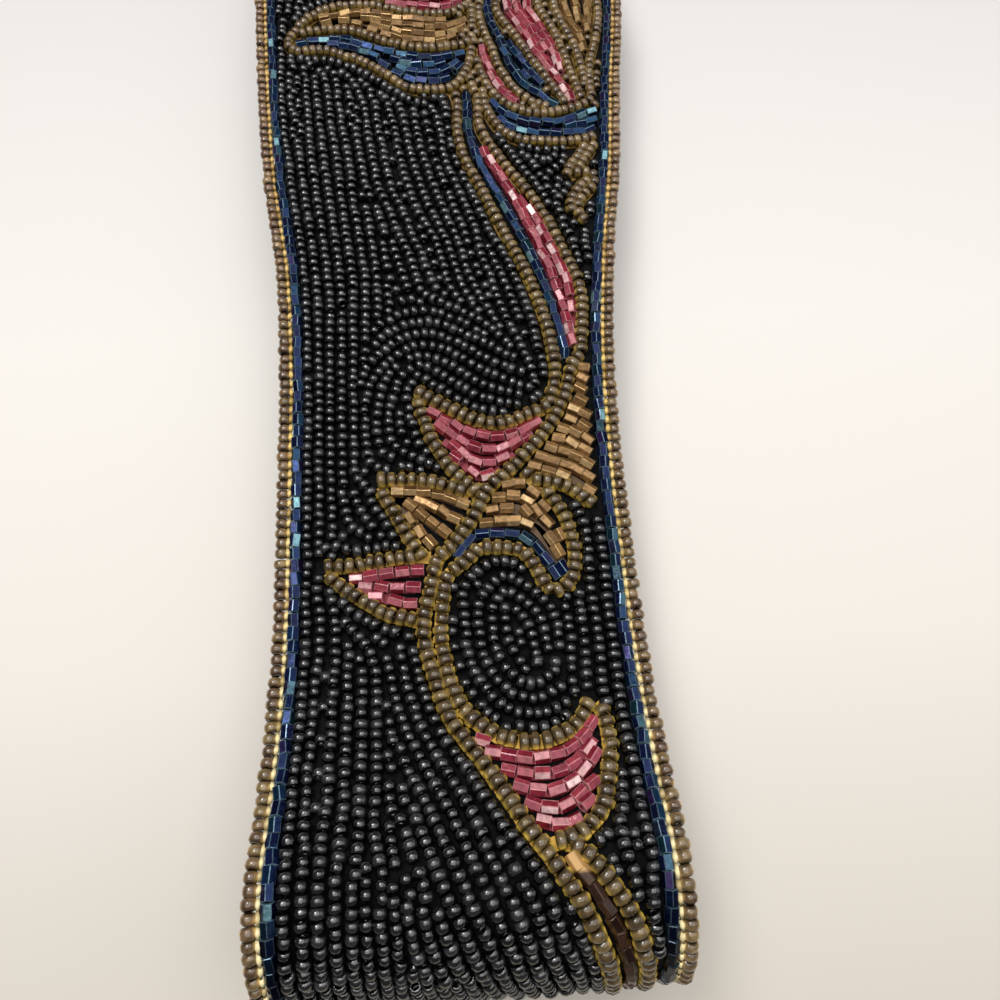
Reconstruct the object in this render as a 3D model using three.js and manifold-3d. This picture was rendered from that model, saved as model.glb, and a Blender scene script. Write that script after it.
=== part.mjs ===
// Beaded belt: a felt strap closed into a loop, with beadwork on its outer face, lying collapsed on a table.
// Millimetres, Z up. X runs across the belt, Y along it, and the centre front is at Y = 0.
import * as THREE from 'three';
import Module from 'manifold-3d';

const wasm = await Module();
wasm.setup();

// Belt and loop sizes
const beltWidth = 66;          // over the edging, at the bends and round the back
const flareLeft = 8.4;         // how much the left edge swings out at the centre front
const flareRight = 16.5;       // how much the right edge swings out there
const frontHalf = 232;         // along the beads, from a bend's tip to the centre front
const bendRadius = 17;         // to the bead tops
const shoulderAngle = 30;      // degrees that the upper layer slopes down from a bend
const middleHeight = 20;       // bead tops of the upper layer, in its sagged middle
const endGap = 1.2;            // between the two ends, at the centre back

// Layers, measured inward from the bead tops
const beadDepth = 1.8;
const amberRise = 0.3;         // the amber beads are larger and stand this much higher
const feltThickness = 2;
const tabThickness = 1.5;
const tabLength = 44;
const tabInset = 6;            // from the felt's long edges

// Widths of the bead strings, and the gap kept between pieces
const edgingWidth = 2.6;
const borderWidth = 1.9;
const borderDrop = 0.2;        // the blue beads are smaller and lie this much lower
const outlineWidth = 2.2;
const rowPitch = 2.4;
const rowOverlap = 1.5;        // how much wider than their pitch the rows of one field are, so that they join
const clearance = 0.3;

// How the edge swings out, as shares of the front half and of each side's flare
const flareTable = [
  { along: 0.43, left: 0, right: 0 },
  { along: 0.54, left: 0.03, right: 0.11 },
  { along: 0.65, left: 0.2, right: 0.32 },
  { along: 0.75, left: 0.58, right: 0.56 },
  { along: 0.86, left: 0.82, right: 0.76 },
  { along: 0.97, left: 0.97, right: 0.97 },
  { along: 1.0, left: 1, right: 1 },
];

// The chart of the bead strings that outline each motif, drawn by hand on a grid and stretched with the belt.
// A point is [across, along] in grid steps: across from the middle, along from the near bend's tip.
const stepsAcross = 66;        // grid steps in the belt's width
const stepsAlong = 232;        // grid steps from the bend's tip to the centre front
const amberChart = {
  leafOuter: [[-31.4, 212.2], [-33, 213.6], [-33, 216], [-31.5, 218.7], [-29, 222], [-25.5, 224.8], [-20.5, 226.3], [-14, 226.3],
    [-8.2, 224.7], [-3.5, 223.3], [2, 222.5], [6, 222.6], [9, 224], [11.5, 226.8]],
  budCap: [[-14, 226.3], [-9, 229], [-3, 230.8], [3, 230.8], [8, 229.8], [11.5, 226.8]],
  leafFold: [[-32, 216.5], [-29, 218], [-24, 218.8], [-19.8, 218.3], [-15.7, 217.2], [-12.3, 215.3],
    [-9, 213.7], [-4.8, 212.3], [0.2, 211.6], [5.2, 211.8], [9.3, 212.7], [11.3, 215.3]],
  leafUnder: [[-31.6, 212], [-24, 211.8], [-17.3, 209], [-14, 207],
    [-10.7, 204.5], [-8.2, 202], [-5.7, 199.9], [-2.3, 198.7], [1.8, 198.4], [5.2, 199], [7.7, 201.2],
    [9, 204], [10.2, 207], [10.9, 212], [11.5, 219], [11.5, 226.8]],
  stemLeft: [[5.2, 199], [6.4, 194.5], [6, 187], [6.7, 180.3], [8.1, 175.3], [10.2, 170.3], [12.3, 164],
    [15.6, 155], [18.8, 146.4], [21.4, 136.4], [22.4, 129.3], [22.6, 122.1], [20.9, 115]],
  stemRight: [[9, 204], [10.5, 198], [11.4, 194.5], [11, 188], [12.7, 182.8], [16.4, 175.3], [20.6, 168.3],
    [24.3, 160.5], [27.4, 151.4], [29.5, 144], [30, 139.3], [29.2, 132], [28.4, 126.4]],
  vine: [[28.4, 126.4], [26.3, 123.6], [25.2, 120.7], [23.8, 116.5], [21.6, 112.5], [18.1, 107.9],
    [14.4, 104.2], [11, 101], [6.7, 97.3], [4, 92.3], [0, 87.3], [-2.9, 84.8], [-4.2, 81], [-5.3, 77],
    [-6.2, 73], [-6, 68.3], [-4.5, 62.3], [-2, 55], [2, 49], [6.3, 42.3], [10, 35.7], [13.3, 30.3],
    [16.3, 25], [18.7, 19], [20.3, 12.3], [21, 6], [21.2, 0], [21.5, -6], [22.5, -12]],
  flowerOuter: [[11.5, 219], [11.5, 211], [11.7, 207], [12.7, 202.8], [13.9, 198.7], [15.6, 195.8],
    [18.1, 193.3], [21, 191.2], [25, 190], [29.3, 190.2], [32.7, 191], [36, 192], [38.2, 194]],
  flowerInner: [[29.3, 190.6], [26, 192.5], [22.7, 194.7], [20.6, 197], [18.9, 200.3], [17.3, 203.7],
    [16.4, 207], [15.6, 211.2], [14.3, 215.3], [13.5, 219.5], [13.5, 224.5]],
  flowerDome: [[13.5, 224.5], [14.3, 229], [16.5, 234], [21, 238.5], [27, 241], [33.5, 240.5], [38.5, 237],
    [41.8, 231], [42.8, 224], [42.3, 217.8], [41, 212], [39.2, 206], [38.3, 200], [38.2, 194]],
  petalLeft: [[21, 238.5], [18.4, 231], [17.6, 223.7], [18.9, 219.5], [20.6, 216.2], [22.3, 212.8],
    [25.2, 206.2], [28.5, 199.5], [32.7, 191]],
  petalRight: [[28, 241], [28, 231], [27.9, 224.5], [29.3, 220.3], [30.9, 216.2], [32, 212], [33.1, 207],
    [33.9, 202.8], [34.8, 198.7], [36, 192]],
  columnLeft: [[32.6, 240.6], [32, 231], [32, 224.1], [33, 219.5], [34.2, 215.3], [35.5, 211.2],
    [36.2, 207], [36.7, 202.8], [37, 198.7], [37.4, 193.5]],
  leafletUnder: [[12.6, 198], [12.9, 194], [13.5, 191.2], [14.8, 187.8], [16.8, 184.9], [19.8, 182.8],
    [23.5, 182], [27.7, 181.6], [31.8, 181.4], [36, 182], [37.6, 182.8]],
  tendrilStem: [[36, 181.5], [33.5, 177.4], [31.4, 174.5], [29.8, 171.6]],
  tendrilHook: [[29.8, 171.6], [33, 172.6], [36, 171.6], [35.8, 168.8], [33.8, 166.6], [32, 164],
    [31.8, 161], [33.2, 159]],
  crescentTop: [[20.9, 115], [18.4, 113.9], [15.6, 113.2], [12.7, 112], [9.9, 111.6], [7, 112],
    [4.1, 113.4], [-0.1, 116], [-4.4, 118.9], [-5.9, 119.9]],
  crescentLeft: [[-5.9, 119.9], [-5.5, 116.4], [-4.4, 112.9], [-3, 108.6], [-1.2, 105], [1.3, 101.3],
    [4.7, 97.7], [5.3, 95]],
  fieldUnder: [[16, 99.3], [20.7, 98.3], [23.3, 97], [25.3, 95.3], [26.7, 93.8], [27.6, 93.1]],
  clawOuter: [[14.4, 101.5], [16, 99.3], [17.7, 98], [19, 96], [20.3, 94], [21.7, 91], [22.3, 88.3],
    [22.7, 85], [22.6, 82.3], [22, 79.7], [20.7, 78], [18, 76.7]],
  curl: [[18, 76.7], [16.3, 79], [15.3, 81.3], [14.3, 83.3], [12.7, 85], [10, 85.8], [7.3, 86.1],
    [4.7, 86], [2.7, 84.3], [0.7, 82.7], [-1, 81.7], [-1.9, 78.5], [-2.3, 74.3], [-2.7, 70], [-2, 65],
    [-1.3, 61.7], [1.3, 56.3], [5.3, 52], [8, 50.9], [12, 50.2], [16, 50.9], [19.5, 52.8], [22, 56.7]],
  lowerCrescentRight: [[22, 56.7], [24, 54.7], [24.4, 50.3], [24, 47], [22.7, 41.7], [21.7, 39],
    [19.5, 36.5], [17, 34.8], [14, 34], [11.5, 33]],
  strandRight: [[14, 34], [16.3, 33.3], [18.3, 31.7], [20.3, 28.7], [23, 23.7], [24.2, 19], [24.9, 13],
    [25, 6], [25, 0], [24.6, -6], [22.5, -12]],
  bronzeLeafTop: [[-14.3, 100.9], [-9.3, 100.9], [-3.3, 100], [1.3, 98.3], [4.7, 96.7]],
  bronzeLeafLeft: [[-14.3, 100.9], [-12.7, 97], [-11.3, 94.7], [-9, 90], [-7.2, 87], [-5.5, 85]],
  pinkLeafTop: [[-24.5, 84.5], [-19.3, 84.2], [-12.7, 85], [-6, 85.3], [-3.5, 84.5]],
  pinkLeafUnder: [[-24.5, 84.5], [-22.7, 81.7], [-18.3, 78.3], [-13.3, 75], [-9.5, 73.8], [-5.8, 72.6]],
};

// Colours as near as a plain material gives them
const colours = {
  black: 0x232327, amber: 0x96793f, blue: 0x24465e, pink: 0xb8405a, bronze: 0x8a6230, gold: 0xc89a48,
  felt: 0x1a1a1c, tab: 0x2a2a2c,
};

// Coloured fields: the first and last bead row of each, and how many rows run from one to the other
const fieldChart = [
  { name: 'gold_leaf_field', colour: 'gold', rows: 4,
    first: [[-24.5, 222.9], [-19, 224], [-13, 223.8], [-8, 222.2], [-2, 221], [4, 220.4], [8, 221.5], [9.3, 222]],
    last: [[-21.5, 221.4], [-16, 219.8], [-11.5, 217.6], [-6.5, 215.4], [0, 214], [5, 214.2], [9, 216.2]] },
  { name: 'pink_bud_field', colour: 'pink', rows: 2,
    first: [[-6, 226.3], [0, 225.2], [5, 225.2], [8, 226.2]], last: [[-5, 228.2], [0, 228], [5, 228], [7, 227.6]] },
  { name: 'blue_leaf_field', colour: 'blue', rows: 4,
    first: [[-30, 214.6], [-25, 215.6], [-20.5, 215.6], [-17, 214.2], [-12.5, 212.2], [-8, 210.6], [-4, 209.4],
      [0, 208.8], [3.5, 208.8], [7.5, 209.4]],
    last: [[-27, 214], [-21.5, 212.9], [-17, 211.4], [-13, 209.2], [-10, 206.9], [-7, 204.2], [-4, 202],
      [0, 201.2], [4, 202], [6.2, 204], [7.6, 206.5]] },
  { name: 'flower_pink_row', colour: 'pink', rows: 1,
    first: [[12.9, 214.6], [13.6, 209.5], [14.6, 204.5], [16.2, 199.9], [18.1, 196.4], [21.2, 193.4], [24.3, 192]] },
  { name: 'flower_blue_rows', colour: 'blue', rows: 2,
    first: [[16.6, 230], [15.6, 224.5], [16, 219.5], [17.4, 215.3], [18.4, 211.2], [19.3, 207], [20.6, 203.4],
      [22.4, 199.6], [25, 196.6], [28, 193.9]],
    last: [[17, 226], [17, 220], [19.4, 214], [21, 210], [22.9, 206.2], [25, 202], [27, 198.6], [29.2, 195]] },
  { name: 'pink_petal', colour: 'pink', rows: 3,
    first: [[23, 237], [21, 230], [20.6, 223.7], [22.3, 219.5], [24.3, 214.9], [25.8, 211.2], [27.7, 207.3],
      [30, 202], [32.5, 196]],
    last: [[26, 237.6], [25.8, 230], [25.6, 223.3], [27.3, 218.7], [28.9, 214.5], [30.3, 210.3],
      [31.3, 205], [32.4, 199], [34.2, 193.7]] },
  { name: 'bronze_columns', colour: 'bronze', rows: 3,
    first: [[35, 236], [34.6, 229], [34.6, 224], [35.6, 218.7], [37, 214], [38, 209.5]],
    last: [[38.6, 233.6], [40, 229], [40.5, 224], [40, 218.7], [39.4, 214], [38.6, 209.5]] },
  { name: 'blue_leaflet', colour: 'blue', rows: 3,
    first: [[15.4, 193], [17.5, 190.6], [21, 188.6], [24.8, 187.4], [28.5, 187.2], [33, 188.3], [36.6, 189.4]],
    last: [[16.6, 188.6], [18.8, 186.4], [22.3, 184.9], [28.5, 184.1], [34.3, 184], [36.8, 184.6]] },
  { name: 'stem_blue_row', colour: 'blue', rows: 1,
    first: [[8.6, 192], [8.6, 187], [9.3, 182], [10.6, 176.5], [12.6, 171.2], [14.8, 166], [18.2, 157],
      [21.3, 147.9], [23.4, 138.6], [24.9, 130], [25.1, 126]] },
  { name: 'stem_pink_rows', colour: 'pink', rows: 2,
    first: [[13.5, 176.2], [15.6, 171.6], [17.5, 167], [20.6, 158.4], [23.8, 148], [25.8, 139], [26.9, 129.6]],
    last: [[15.2, 175], [18.2, 169.6], [20.8, 163.8], [23, 158.2], [26, 149.4], [27.4, 143.6], [27.6, 136]] },
  { name: 'upper_crescent', colour: 'pink', rows: 4,
    first: [[-3, 115], [0.2, 112.7], [3.4, 110.7], [7.1, 109.3], [9.9, 108.9], [12.7, 109.2], [15.4, 110.2],
      [18.3, 111.4]],
    last: [[3.4, 103.2], [5.6, 100.8], [8, 101], [9.6, 102]] },
  { name: 'bronze_field', colour: 'bronze', rows: 10,
    first: [[27, 121.4], [28.2, 120.6]],
    last: [[15.8, 102.6], [19, 101], [22.5, 99.6], [25.5, 97.6], [27.8, 95.8]] },
  { name: 'blue_arc', colour: 'blue', rows: 1,
    first: [[0.9, 85.3], [2.6, 87.3], [4.7, 88.6], [10, 88.6], [12.6, 88.2], [14.6, 86.9], [16.4, 84.6],
      [17.8, 82], [19.2, 79.6]] },
  { name: 'bronze_claw', colour: 'bronze', rows: 4,
    first: [[10.6, 98.5], [12.2, 98.8], [14, 98.7]],
    last: [[4.8, 91], [9.7, 91.2], [13, 90.9], [15.6, 89.6], [17.6, 87.2], [19.1, 84.6], [20.2, 82]] },
  { name: 'bronze_leaf', colour: 'bronze', rows: 4,
    first: [[-12, 98.7], [-7, 98.3], [-2, 97.2], [2, 95.2]],
    last: [[-11, 97.6], [-8.6, 94], [-6.2, 90], [-4.2, 87.6]] },
  { name: 'pink_leaf', colour: 'pink', rows: 3,
    first: [[-18.8, 81.8], [-14.7, 82.3], [-11.3, 82.5], [-6.7, 82.5]],
    last: [[-14.4, 78.4], [-10.3, 76.8], [-8.4, 76.4]] },
  { name: 'lower_crescent', colour: 'pink', rows: 5,
    first: [[3.6, 49.4], [8, 48.2], [12, 47.6], [16.3, 48.3], [19.5, 50], [21.6, 52.4]],
    last: [[12.3, 37.2], [14.4, 36.6], [16.6, 37]] },
  { name: 'bronze_bottom_row', colour: 'bronze', rows: 1,
    first: [[16.2, 30.4], [18.2, 27], [20.2, 22], [21.8, 16.5], [22.7, 11], [23, 5], [23.1, -1], [23, -6]] },
];


// A point on each field of black beads. What the motifs cut off from these is scraps, and left out.
const blackChart = [
  { name: 'black_beads_near', half: 'near', at: [-20, 150] },
  { name: 'black_beads_stem', half: 'near', at: [26, 172] },
  { name: 'black_beads_far', half: 'far', at: [-20, 280] },
];

// The loop's side profile, worked out from the sizes above
const halfTurn = Math.PI;
const shoulder = shoulderAngle * halfTurn / 180;
const quarterArc = bendRadius * halfTurn / 2;
const bendArc = bendRadius * (halfTurn / 2 + shoulder);
const sagRadius = (bendRadius * (1 + Math.cos(shoulder)) - middleHeight) / (1 - Math.cos(shoulder));
const sagArc = sagRadius * shoulder;
const middleAcross = (flareRight - flareLeft) / 2;
const middleHalf = frontHalf - bendArc - sagArc;
const loopReach = middleHalf + (bendRadius + sagRadius) * Math.sin(shoulder) + bendRadius;
const backHalf = loopReach - bendRadius + quarterArc;
const loopHalf = frontHalf + backHalf;

// Layers as depths from the bead tops
const feltTop = -beadDepth - clearance;
const feltBottom = feltTop - feltThickness;
const fieldInset = edgingWidth + borderWidth + 2 * clearance;
const bendSlices = 12;
const sagSlices = 4;
const edgingSides = 8;
const start = -loopHalf + endGap / 2;
const end = loopHalf - endGap / 2;
const curveStep = 1;
const curveTolerance = 0.25;
const sameSpot = 0.003;
const onPlane = 2e-4;

// Maps a point of the flat strap (across, run from the centre front, height over the bead tops) to the loop
function place(fromMiddle, run, height) {
  const across = fromMiddle - middleAcross;
  const side = run < 0 ? -1 : 1;
  const fromTip = frontHalf - Math.abs(run);
  if (fromTip >= bendArc + sagArc) {
    return [across, run, middleHeight + height];
  }
  if (fromTip >= bendArc) {
    const turn = (bendArc + sagArc - fromTip) / sagRadius;
    const reach = sagRadius - height;
    return [across, side * (middleHalf + reach * Math.sin(turn)), middleHeight + sagRadius - reach * Math.cos(turn)];
  }
  if (fromTip >= -quarterArc) {
    const turn = fromTip / bendRadius;
    const reach = bendRadius + height;
    return [across, side * (loopReach - bendRadius + reach * Math.cos(turn)), bendRadius + reach * Math.sin(turn)];
  }
  return [across, side * (loopReach - bendRadius + quarterArc + fromTip), -height];
}

// Runs at which the strap is cut across so that it can bend
function bendRuns() {
  const tips = [];
  for (let i = 0; i <= bendSlices; i += 1) {
    tips.push(-quarterArc + (bendArc + quarterArc) * i / bendSlices);
  }
  for (let i = 1; i <= sagSlices; i += 1) {
    tips.push(bendArc + sagArc * i / sagSlices);
  }
  return tips.flatMap((fromTip) => [fromTip - frontHalf, frontHalf - fromTip]).sort((a, b) => a - b);
}

// Solids from plain point and face lists, and back
function toSolid({ points, faces }) {
  return new wasm.Manifold(new wasm.Mesh({
    numProp: 3, vertProperties: new Float32Array(points.flat()), triVerts: new Uint32Array(faces.flat()),
  }));
}

function fromSolid(solid) {
  const mesh = solid.getMesh();
  const points = [];
  const faces = [];
  for (let i = 0; i < mesh.vertProperties.length; i += 3) {
    points.push(Array.from(mesh.vertProperties.slice(i, i + 3)));
  }
  for (let i = 0; i < mesh.triVerts.length; i += 3) faces.push(Array.from(mesh.triVerts.slice(i, i + 3)));
  return { points, faces };
}

// The separate bodies of a flat solid, largest plan area first, each with a test of what it lies under
function bodiesOf(solid) {
  const { points, faces } = fromSolid(solid);
  const parent = points.map((point, i) => i);
  const rootOf = (i) => {
    let at = i;
    while (parent[at] !== at) at = parent[at];
    parent[i] = at;
    return at;
  };
  for (const [a, b, c] of faces) {
    parent[rootOf(b)] = rootOf(a);
    parent[rootOf(c)] = rootOf(a);
  }
  const bodies = new Map();
  for (const face of faces) {
    const root = rootOf(face[0]);
    if (!bodies.has(root)) bodies.set(root, []);
    bodies.get(root).push(face);
  }
  return [...bodies.values()].map((own) => {
    const turn = (a, b, c) => (b[0] - a[0]) * (c[1] - a[1]) - (b[1] - a[1]) * (c[0] - a[0]);
    const corners = own.map((face) => face.map((i) => points[i]));
    const area = corners.reduce((sum, [a, b, c]) => sum + Math.abs(turn(a, b, c)) / 4, 0);
    const holds = (spot) => corners.some(([a, b, c]) => turn(a, b, c) > 0
      && turn(a, b, spot) >= 0 && turn(b, c, spot) >= 0 && turn(c, a, spot) >= 0);
    return { points, faces: own, area, holds };
  }).sort((one, other) => other.area - one.area);
}

// Cuts a flat solid into bands at the bend runs and sews the bands into one mesh again, so that its faces
// end where the strap bends
function banded(solid) {
  const box = solid.boundingBox();
  const corners = fromSolid(solid).points;
  const isClear = (run) => corners.every((point) => Math.abs(point[1] - run) > sameSpot);
  const clearRun = (run) => (isClear(run) ? run : clearRun(run + 2 * sameSpot));
  const runs = bendRuns().map(clearRun).filter((run) => run > box.min[1] && run < box.max[1]);
  const ends = [box.min[1] - 1, ...runs, box.max[1] + 1];
  const points = [];
  const faces = [];
  const atRun = new Map(runs.map((run) => [run, []]));
  for (let i = 0; i + 1 < ends.length; i += 1) {
    const band = fromSolid(solid.intersect(wideBox(ends[i], ends[i + 1])));
    const cutAt = (point) => runs.find((run) => Math.abs(point[1] - run) < onPlane);
    const renamed = band.points.map((point) => {
      const run = cutAt(point);
      if (run === undefined) return points.push(point) - 1;
      const known = atRun.get(run);
      const twin = known.find((k) => Math.hypot(points[k][0] - point[0], points[k][2] - point[2]) < sameSpot);
      if (twin !== undefined) return twin;
      known.push(points.push([point[0], run, point[2]]) - 1);
      return points.length - 1;
    });
    for (const face of band.faces) {
      const cuts = face.map((k) => cutAt(band.points[k]));
      const isCap = cuts[0] !== undefined && cuts[0] === cuts[1] && cuts[1] === cuts[2];
      const sewn = face.map((k) => renamed[k]);
      if (!isCap && new Set(sewn).size === 3) faces.push(sewn);
    }
  }
  return { points, faces: faces.flatMap((face) => sharedEdges(points, face, atRun)) };
}

// Splits a face where a neighbour across a cut has a corner part way along their common edge
function sharedEdges(points, face, atRun) {
  for (let i = 0; i < 3; i += 1) {
    const [a, b, c] = [face[i], face[(i + 1) % 3], face[(i + 2) % 3]];
    const known = atRun.get(points[a][1]);
    if (known === undefined || points[b][1] !== points[a][1]) continue;
    const edge = [points[b][0] - points[a][0], points[b][2] - points[a][2]];
    const length = Math.hypot(...edge);
    const between = known.map((k) => {
      const arm = [points[k][0] - points[a][0], points[k][2] - points[a][2]];
      return { k, along: (arm[0] * edge[0] + arm[1] * edge[1]) / length,
        off: Math.abs(arm[0] * edge[1] - arm[1] * edge[0]) / length };
    }).filter(({ along, off }) => along > sameSpot && along < length - sameSpot && off < sameSpot);
    if (between.length === 0) continue;
    const chain = [a, ...between.sort((one, other) => one.along - other.along).map(({ k }) => k), b];
    return chain.slice(1).map((k, j) => [chain[j], k, c]);
  }
  return [face];
}

// A closed mesh through rings of points, all rings alike and convex, wound the same way
function loft(rings) {
  const count = rings[0].length;
  const faces = [];
  for (let r = 0; r + 1 < rings.length; r += 1) {
    for (let i = 0; i < count; i += 1) {
      const a = r * count + i;
      const b = r * count + (i + 1) % count;
      faces.push([a, b, b + count], [a, b + count, a + count]);
    }
  }
  const last = (rings.length - 1) * count;
  for (let i = 1; i + 1 < count; i += 1) {
    faces.push([0, i + 1, i], [last, last + i, last + i + 1]);
  }
  return { points: rings.flat(), faces };
}

function wideBox(from, to) {
  const wide = beltWidth + flareLeft + flareRight;
  const deep = beadDepth + feltThickness;
  return toSolid(loft([from, to].map((run) => [[-wide, run, -2 * deep], [-wide, run, 2 * deep],
    [wide, run, 2 * deep], [wide, run, -2 * deep]])));
}

// How far out an edge of the belt is, at a run from the centre front
function edgeAt(side, run) {
  const share = Math.max(0, 1 - Math.abs(run) / frontHalf);
  const next = Math.max(1, flareTable.findIndex((row) => row.along >= share));
  const from = flareTable[next - 1];
  const to = flareTable[next];
  const key = side < 0 ? 'left' : 'right';
  const blend = Math.max(0, (share - from.along) / (to.along - from.along));
  const flare = side < 0 ? flareLeft : flareRight;
  return side * (beltWidth / 2 + flare * (from[key] + (to[key] - from[key]) * blend));
}

// Runs at which the edges change direction, between two ends
function edgeRuns(from, to) {
  const turns = flareTable.flatMap((row) => [(row.along - 1) * frontHalf, (1 - row.along) * frontHalf]);
  const inside = [...new Set(turns)].filter((run) => run > from + clearance && run < to - clearance);
  return [from, ...inside.sort((a, b) => a - b), to];
}

// The same with the bend runs, a run near another left out
function strapRuns() {
  const all = [...edgeRuns(start, end), ...bendRuns()].sort((a, b) => a - b);
  return all.filter((run, i) => i === 0 || i === all.length - 1 || run - all[i - 1] > clearance);
}

// A slab of the strap between two ends, set in from both edges
function slab(runs, inset, low, high) {
  return loft(runs.map((run) => {
    const left = edgeAt(-1, run) + inset;
    const right = edgeAt(1, run) - inset;
    return [[left, run, low], [left, run, high], [right, run, high], [right, run, low]];
  }));
}

// A string that follows one edge all round, with its own cross-section of [out, height] points
function edgeString(side, inset, section) {
  const ordered = side < 0 ? section.map(([out, height]) => [-out, height]).reverse() : section;
  return loft(strapRuns().map((run) => {
    const middle = edgeAt(side, run) - side * inset;
    return ordered.map(([out, height]) => [middle + out, run, height]);
  }));
}

// Leaves out the points of a line that lie almost straight between those kept
function thinned(points) {
  const first = points[0];
  const last = points[points.length - 1];
  const chord = last.clone().sub(first);
  const off = points.map((point) => {
    const arm = point.clone().sub(first);
    const share = Math.min(1, Math.max(0, arm.dot(chord) / chord.lengthSq()));
    return arm.addScaledVector(chord, -share).length();
  });
  const furthest = off.indexOf(Math.max(...off));
  if (off[furthest] < curveTolerance) return [first, last];
  return [...thinned(points.slice(0, furthest + 1)), ...thinned(points.slice(furthest)).slice(1)];
}

// A chart point, and a chart curve, on the flat strap
function chartPoint([across, along]) {
  return new THREE.Vector2(across * beltWidth / stepsAcross, along * frontHalf / stepsAlong - frontHalf);
}

function curvePoints(chart) {
  const curve = new THREE.SplineCurve(chart.map(chartPoint));
  return curve.getSpacedPoints(Math.max(2, Math.ceil(curve.getLength() / curveStep)));
}

// A flat strip along a line of points, with square ends run past the last points
function strip(line, width, overrun, low, high) {
  const points = thinned(line);
  const rings = points.map((point, i) => {
    const before = points[Math.max(0, i - 1)];
    const after = points[Math.min(points.length - 1, i + 1)];
    const ahead = after.clone().sub(before).normalize();
    const end = i === 0 ? -overrun : (i === points.length - 1 ? overrun : 0);
    const middle = point.clone().addScaledVector(ahead, end);
    const x = ahead.y * width / 2;
    const y = -ahead.x * width / 2;
    return [[middle.x - x, middle.y - y, low], [middle.x - x, middle.y - y, high],
      [middle.x + x, middle.y + y, high], [middle.x + x, middle.y + y, low]];
  });
  return toSolid(loft(rings));
}

function joined(solids) {
  return solids.reduce((all, solid) => all.add(solid));
}

// Rows of a coloured field, spread evenly from its first row to its last
function fieldRows(entry) {
  const first = curvePoints(entry.first);
  if (entry.rows === 1) return [first];
  const last = curvePoints(entry.last);
  const count = Math.max(first.length, last.length);
  const resample = (points) => new THREE.SplineCurve(points).getSpacedPoints(count);
  const [from, to] = [resample(first), resample(last)];
  return Array.from({ length: entry.rows }, (unused, row) => from.map(
    (point, i) => point.clone().lerp(to[i], row / (entry.rows - 1))));
}

function fieldSolid(entry, width, overrun, low, high) {
  return joined(fieldRows(entry).map((row) => strip(row, width, overrun, low, high)));
}

// Nodes
const belt = new THREE.Group();
belt.name = 'beaded_belt';

function addMesh(name, colour, mesh) {
  const used = new Map();
  const positions = [];
  const index = mesh.faces.flat().map((i) => {
    if (!used.has(i)) {
      used.set(i, positions.length / 3);
      positions.push(...place(...mesh.points[i]));
    }
    return used.get(i);
  });
  const geometry = new THREE.BufferGeometry();
  geometry.setAttribute('position', new THREE.Float32BufferAttribute(positions, 3));
  geometry.setIndex(index);
  geometry.computeVertexNormals();
  const node = new THREE.Mesh(geometry, new THREE.MeshStandardMaterial({ color: colours[colour], name: colour }));
  node.name = name;
  belt.add(node);
}

function addSolid(name, colour, solid) {
  addMesh(name, colour, banded(solid));
}

const cutDepth = 2 * beadDepth;

function addStrap() {
  addMesh('felt_band', 'felt', slab(strapRuns(), edgingWidth + clearance, feltBottom, feltTop));
  const tabWidth = beltWidth - 2 * (edgingWidth + clearance + tabInset);
  const tabLow = feltBottom - clearance - tabThickness;
  const tab = new THREE.BoxGeometry(tabWidth, tabLength, tabThickness);
  tab.translate(-middleAcross, 0, -tabLow - tabThickness / 2);
  const node = new THREE.Mesh(tab, new THREE.MeshStandardMaterial({ color: colours.tab, name: 'tab' }));
  node.name = 'closing_tab';
  belt.add(node);
}

function addBorders() {
  const radius = edgingWidth / 2;
  const round = Array.from({ length: edgingSides }, (unused, i) => {
    const angle = -(i + 0.5) * 2 * halfTurn / edgingSides;
    return [radius * Math.cos(angle), radius * Math.sin(angle) - radius];
  });
  const half = borderWidth / 2;
  const square = [[-half, -beadDepth], [-half, -borderDrop], [half, -borderDrop], [half, -beadDepth]];
  for (const [label, side] of [['left', -1], ['right', 1]]) {
    addMesh(`amber_edging_${label}`, 'amber', edgeString(side, radius, round));
    addMesh(`blue_border_${label}`, 'blue', edgeString(side, edgingWidth + clearance + half, square));
  }
}

function addBeadwork() {
  const inField = toSolid(slab(edgeRuns(start, end), fieldInset, -cutDepth, cutDepth));
  const outlines = Object.values(amberChart).map(curvePoints);
  const amber = joined(outlines.map((line) => strip(line, outlineWidth, outlineWidth / 2, -beadDepth, amberRise)));
  const amberCut = joined(outlines.map((line) => strip(
    line, outlineWidth + 2 * clearance, outlineWidth / 2 + clearance, -cutDepth, cutDepth)));
  addSolid('amber_outline', 'amber', amber.intersect(inField));

  let taken = amberCut;
  for (const entry of fieldChart) {
    const width = entry.rows > 1 ? rowPitch + rowOverlap : rowPitch;
    const field = fieldSolid(entry, width, 0, -beadDepth, 0).intersect(inField).subtract(taken);
    addSolid(entry.name, entry.colour, toSolid(bodiesOf(field)[0]));
    taken = taken.add(fieldSolid(entry, width + 2 * clearance, clearance, -cutDepth, cutDepth));
  }

  const spread = joined(fieldChart.map((entry) => fieldSolid(
    entry, rowPitch + 2 * rowPitch / 3, rowPitch / 3, -cutDepth, cutDepth)));
  const cuts = taken.add(spread);
  const halves = { near: [start, -clearance / 2], far: [clearance / 2, end] };
  for (const entry of blackChart) {
    const field = toSolid(slab(edgeRuns(...halves[entry.half]), fieldInset, -beadDepth, 0)).subtract(cuts);
    const spot = chartPoint(entry.at);
    const body = bodiesOf(field).find(({ holds }) => holds([spot.x, spot.y]));
    addSolid(entry.name, 'black', toSolid(body));
  }
}

addStrap();
addBorders();
addBeadwork();

export default belt;
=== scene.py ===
import math

import bmesh
import bpy
import numpy as np
from mathutils import Matrix, Vector


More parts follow.
